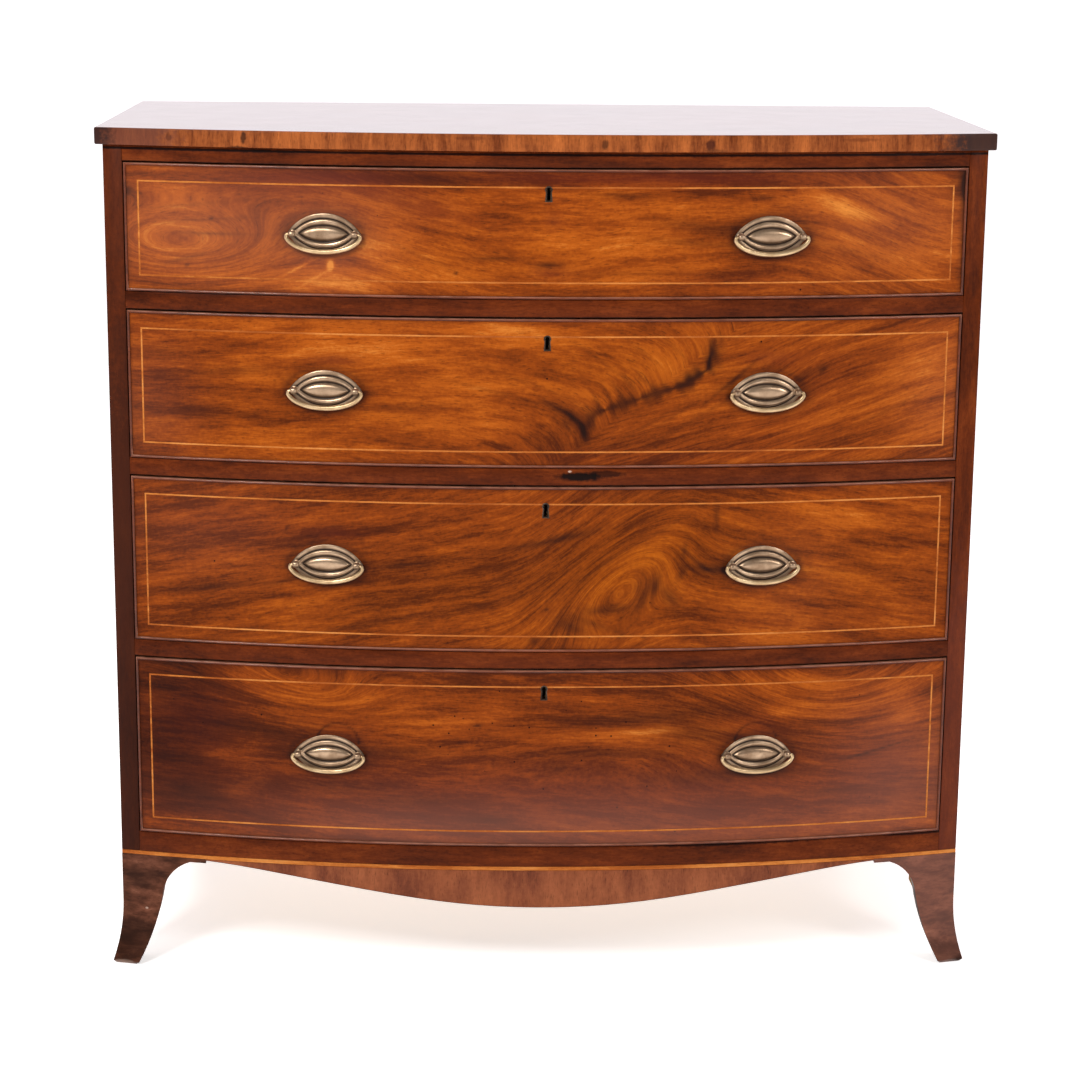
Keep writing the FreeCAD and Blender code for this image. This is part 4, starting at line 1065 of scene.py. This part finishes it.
# Painted shade on the apron's underside and on the sides of the front feet that look inward.
second_wood("front_apron", painted_shade_edges, lambda face: face.normal.z < SLOPING_DOWN)
second_wood("front_feet", painted_shade_edges, lambda face: (
    abs(face.normal.y) < FRONT_OR_BACK and face.normal.x * face.center.x < INWARD))
for word, _ in SIDES:
    second_wood(f"case_side_{word}", stile_wood, lambda face: face.normal.y < FORWARD)

for node, material in (("back_boards", pine), ("case_bottom", pine_across),
                       ("dustboards", pine_across), ("drawer_runners", pine_deep),
                       ("drawer_stops", pine_across), ("glue_blocks", pine_across)):
    give_material(frame["nodes"][node], material)
for number in DRAWERS:
    for part, material in (("sides", oak), ("back", oak_across), ("bottom", oak_across),
                           ("lock", iron), ("bolt", steel), ("front", pine_across)):
        give_material(frame["nodes"][f"drawer_{number}_{part}"], material)


# --- Stage, light and camera ---
FLOOR_REACH = 200.0           # metres, so that its edge is near the horizon
SIGHT = 600                   # metres that the camera sees


def make_stage():
    far = FLOOR_REACH
    floor = make_object("floor", [(-far, -far, 0), (far, -far, 0), (far, far, 0), (-far, far, 0)],
                        [(0, 1, 2, 3)])
    paper = Shader("paper")
    tint = paper.noise(paper.coordinates(), 3.0)
    white = paper.ramp(tint, (0.0, (0.95, 0.95, 0.95, 1)), (1.0, (0.97, 0.97, 0.97, 1)))
    paper.finish(Base_Color=white, Roughness=0.9, Emission_Color=(1, 1, 1, 1),
                 Emission_Strength=0.6)
    floor.data.materials.append(paper.material)


def area_light(name, place, target, size, power):
    data = bpy.data.lights.new(name, "AREA")
    data.shape = "RECTANGLE"
    data.size, data.size_y = size
    data.energy = power
    lamp = bpy.data.objects.new(name, data)
    lamp.location = place
    lamp.rotation_euler = (Vector(target) - Vector(place)).to_track_quat("-Z", "Y").to_euler()
    bpy.context.scene.collection.objects.link(lamp)


def make_light():
    """A white backdrop behind and above, a dim room in front, and soft lamps."""
    world = bpy.data.worlds.new("studio")
    world.use_nodes = True
    tree = world.node_tree
    direction = tree.nodes.new("ShaderNodeTexCoord").outputs["Generated"]
    parts = tree.nodes.new("ShaderNodeSeparateXYZ")
    tree.links.new(direction, parts.inputs[0])
    fall = tree.nodes.new("ShaderNodeMapRange")
    fall.interpolation_type = "SMOOTHSTEP"
    for name, value in (("From Min", -0.35), ("From Max", 0.25), ("To Min", 0.12),
                        ("To Max", 1.01)):
        fall.inputs[name].default_value = value
    tree.links.new(parts.outputs["Y"], fall.inputs["Value"])
    background = tree.nodes["Background"]
    background.inputs["Color"].default_value = (1.0, 0.94, 0.98, 1)
    tree.links.new(fall.outputs[0], background.inputs["Strength"])
    bpy.context.scene.world = world
    area_light("key", (-1.6, -2.6, 2.6), (0, 0, 0.75), (0.8, 0.8), 66)
    area_light("fill", (2.2, -2.4, 2.2), (0, 0, 0.7), (0.8, 0.8), 34)
    area_light("top", (0, 0.6, 3.0), (0, 0.2, 1.0), (2.5, 1.6), 26)


CAMERA_PLACE = Vector((-95.7, -3316.25, 1268.8)) * MM
CAMERA_YAW = radians(1.67)
CAMERA_PITCH = radians(13.09)
CAMERA_ROLL = radians(0.54)
PICTURE_WIDTH = 1080
FOCAL_PIXELS = 2646.3         # with a picture of that width
SENSOR = 36.0


def make_camera():
    forward = Vector((sin(CAMERA_YAW) * cos(CAMERA_PITCH),
                      cos(CAMERA_YAW) * cos(CAMERA_PITCH), -sin(CAMERA_PITCH)))
    level = Vector((cos(CAMERA_YAW), -sin(CAMERA_YAW), 0))
    upright = level.cross(forward)
    right = level * cos(CAMERA_ROLL) + upright * sin(CAMERA_ROLL)
    up = right.cross(forward)
    data = bpy.data.cameras.new("camera")
    data.sensor_width = SENSOR
    data.lens = FOCAL_PIXELS / PICTURE_WIDTH * SENSOR
    data.clip_end = SIGHT
    camera = bpy.data.objects.new("camera", data)
    basis = Matrix((right, up, -forward)).transposed().to_4x4()
    camera.matrix_world = Matrix.Translation(CAMERA_PLACE) @ basis
    bpy.context.scene.collection.objects.link(camera)
    bpy.context.scene.camera = camera


make_stage()
make_light()
make_camera()
bpy.context.scene.view_settings.view_transform = "Standard"
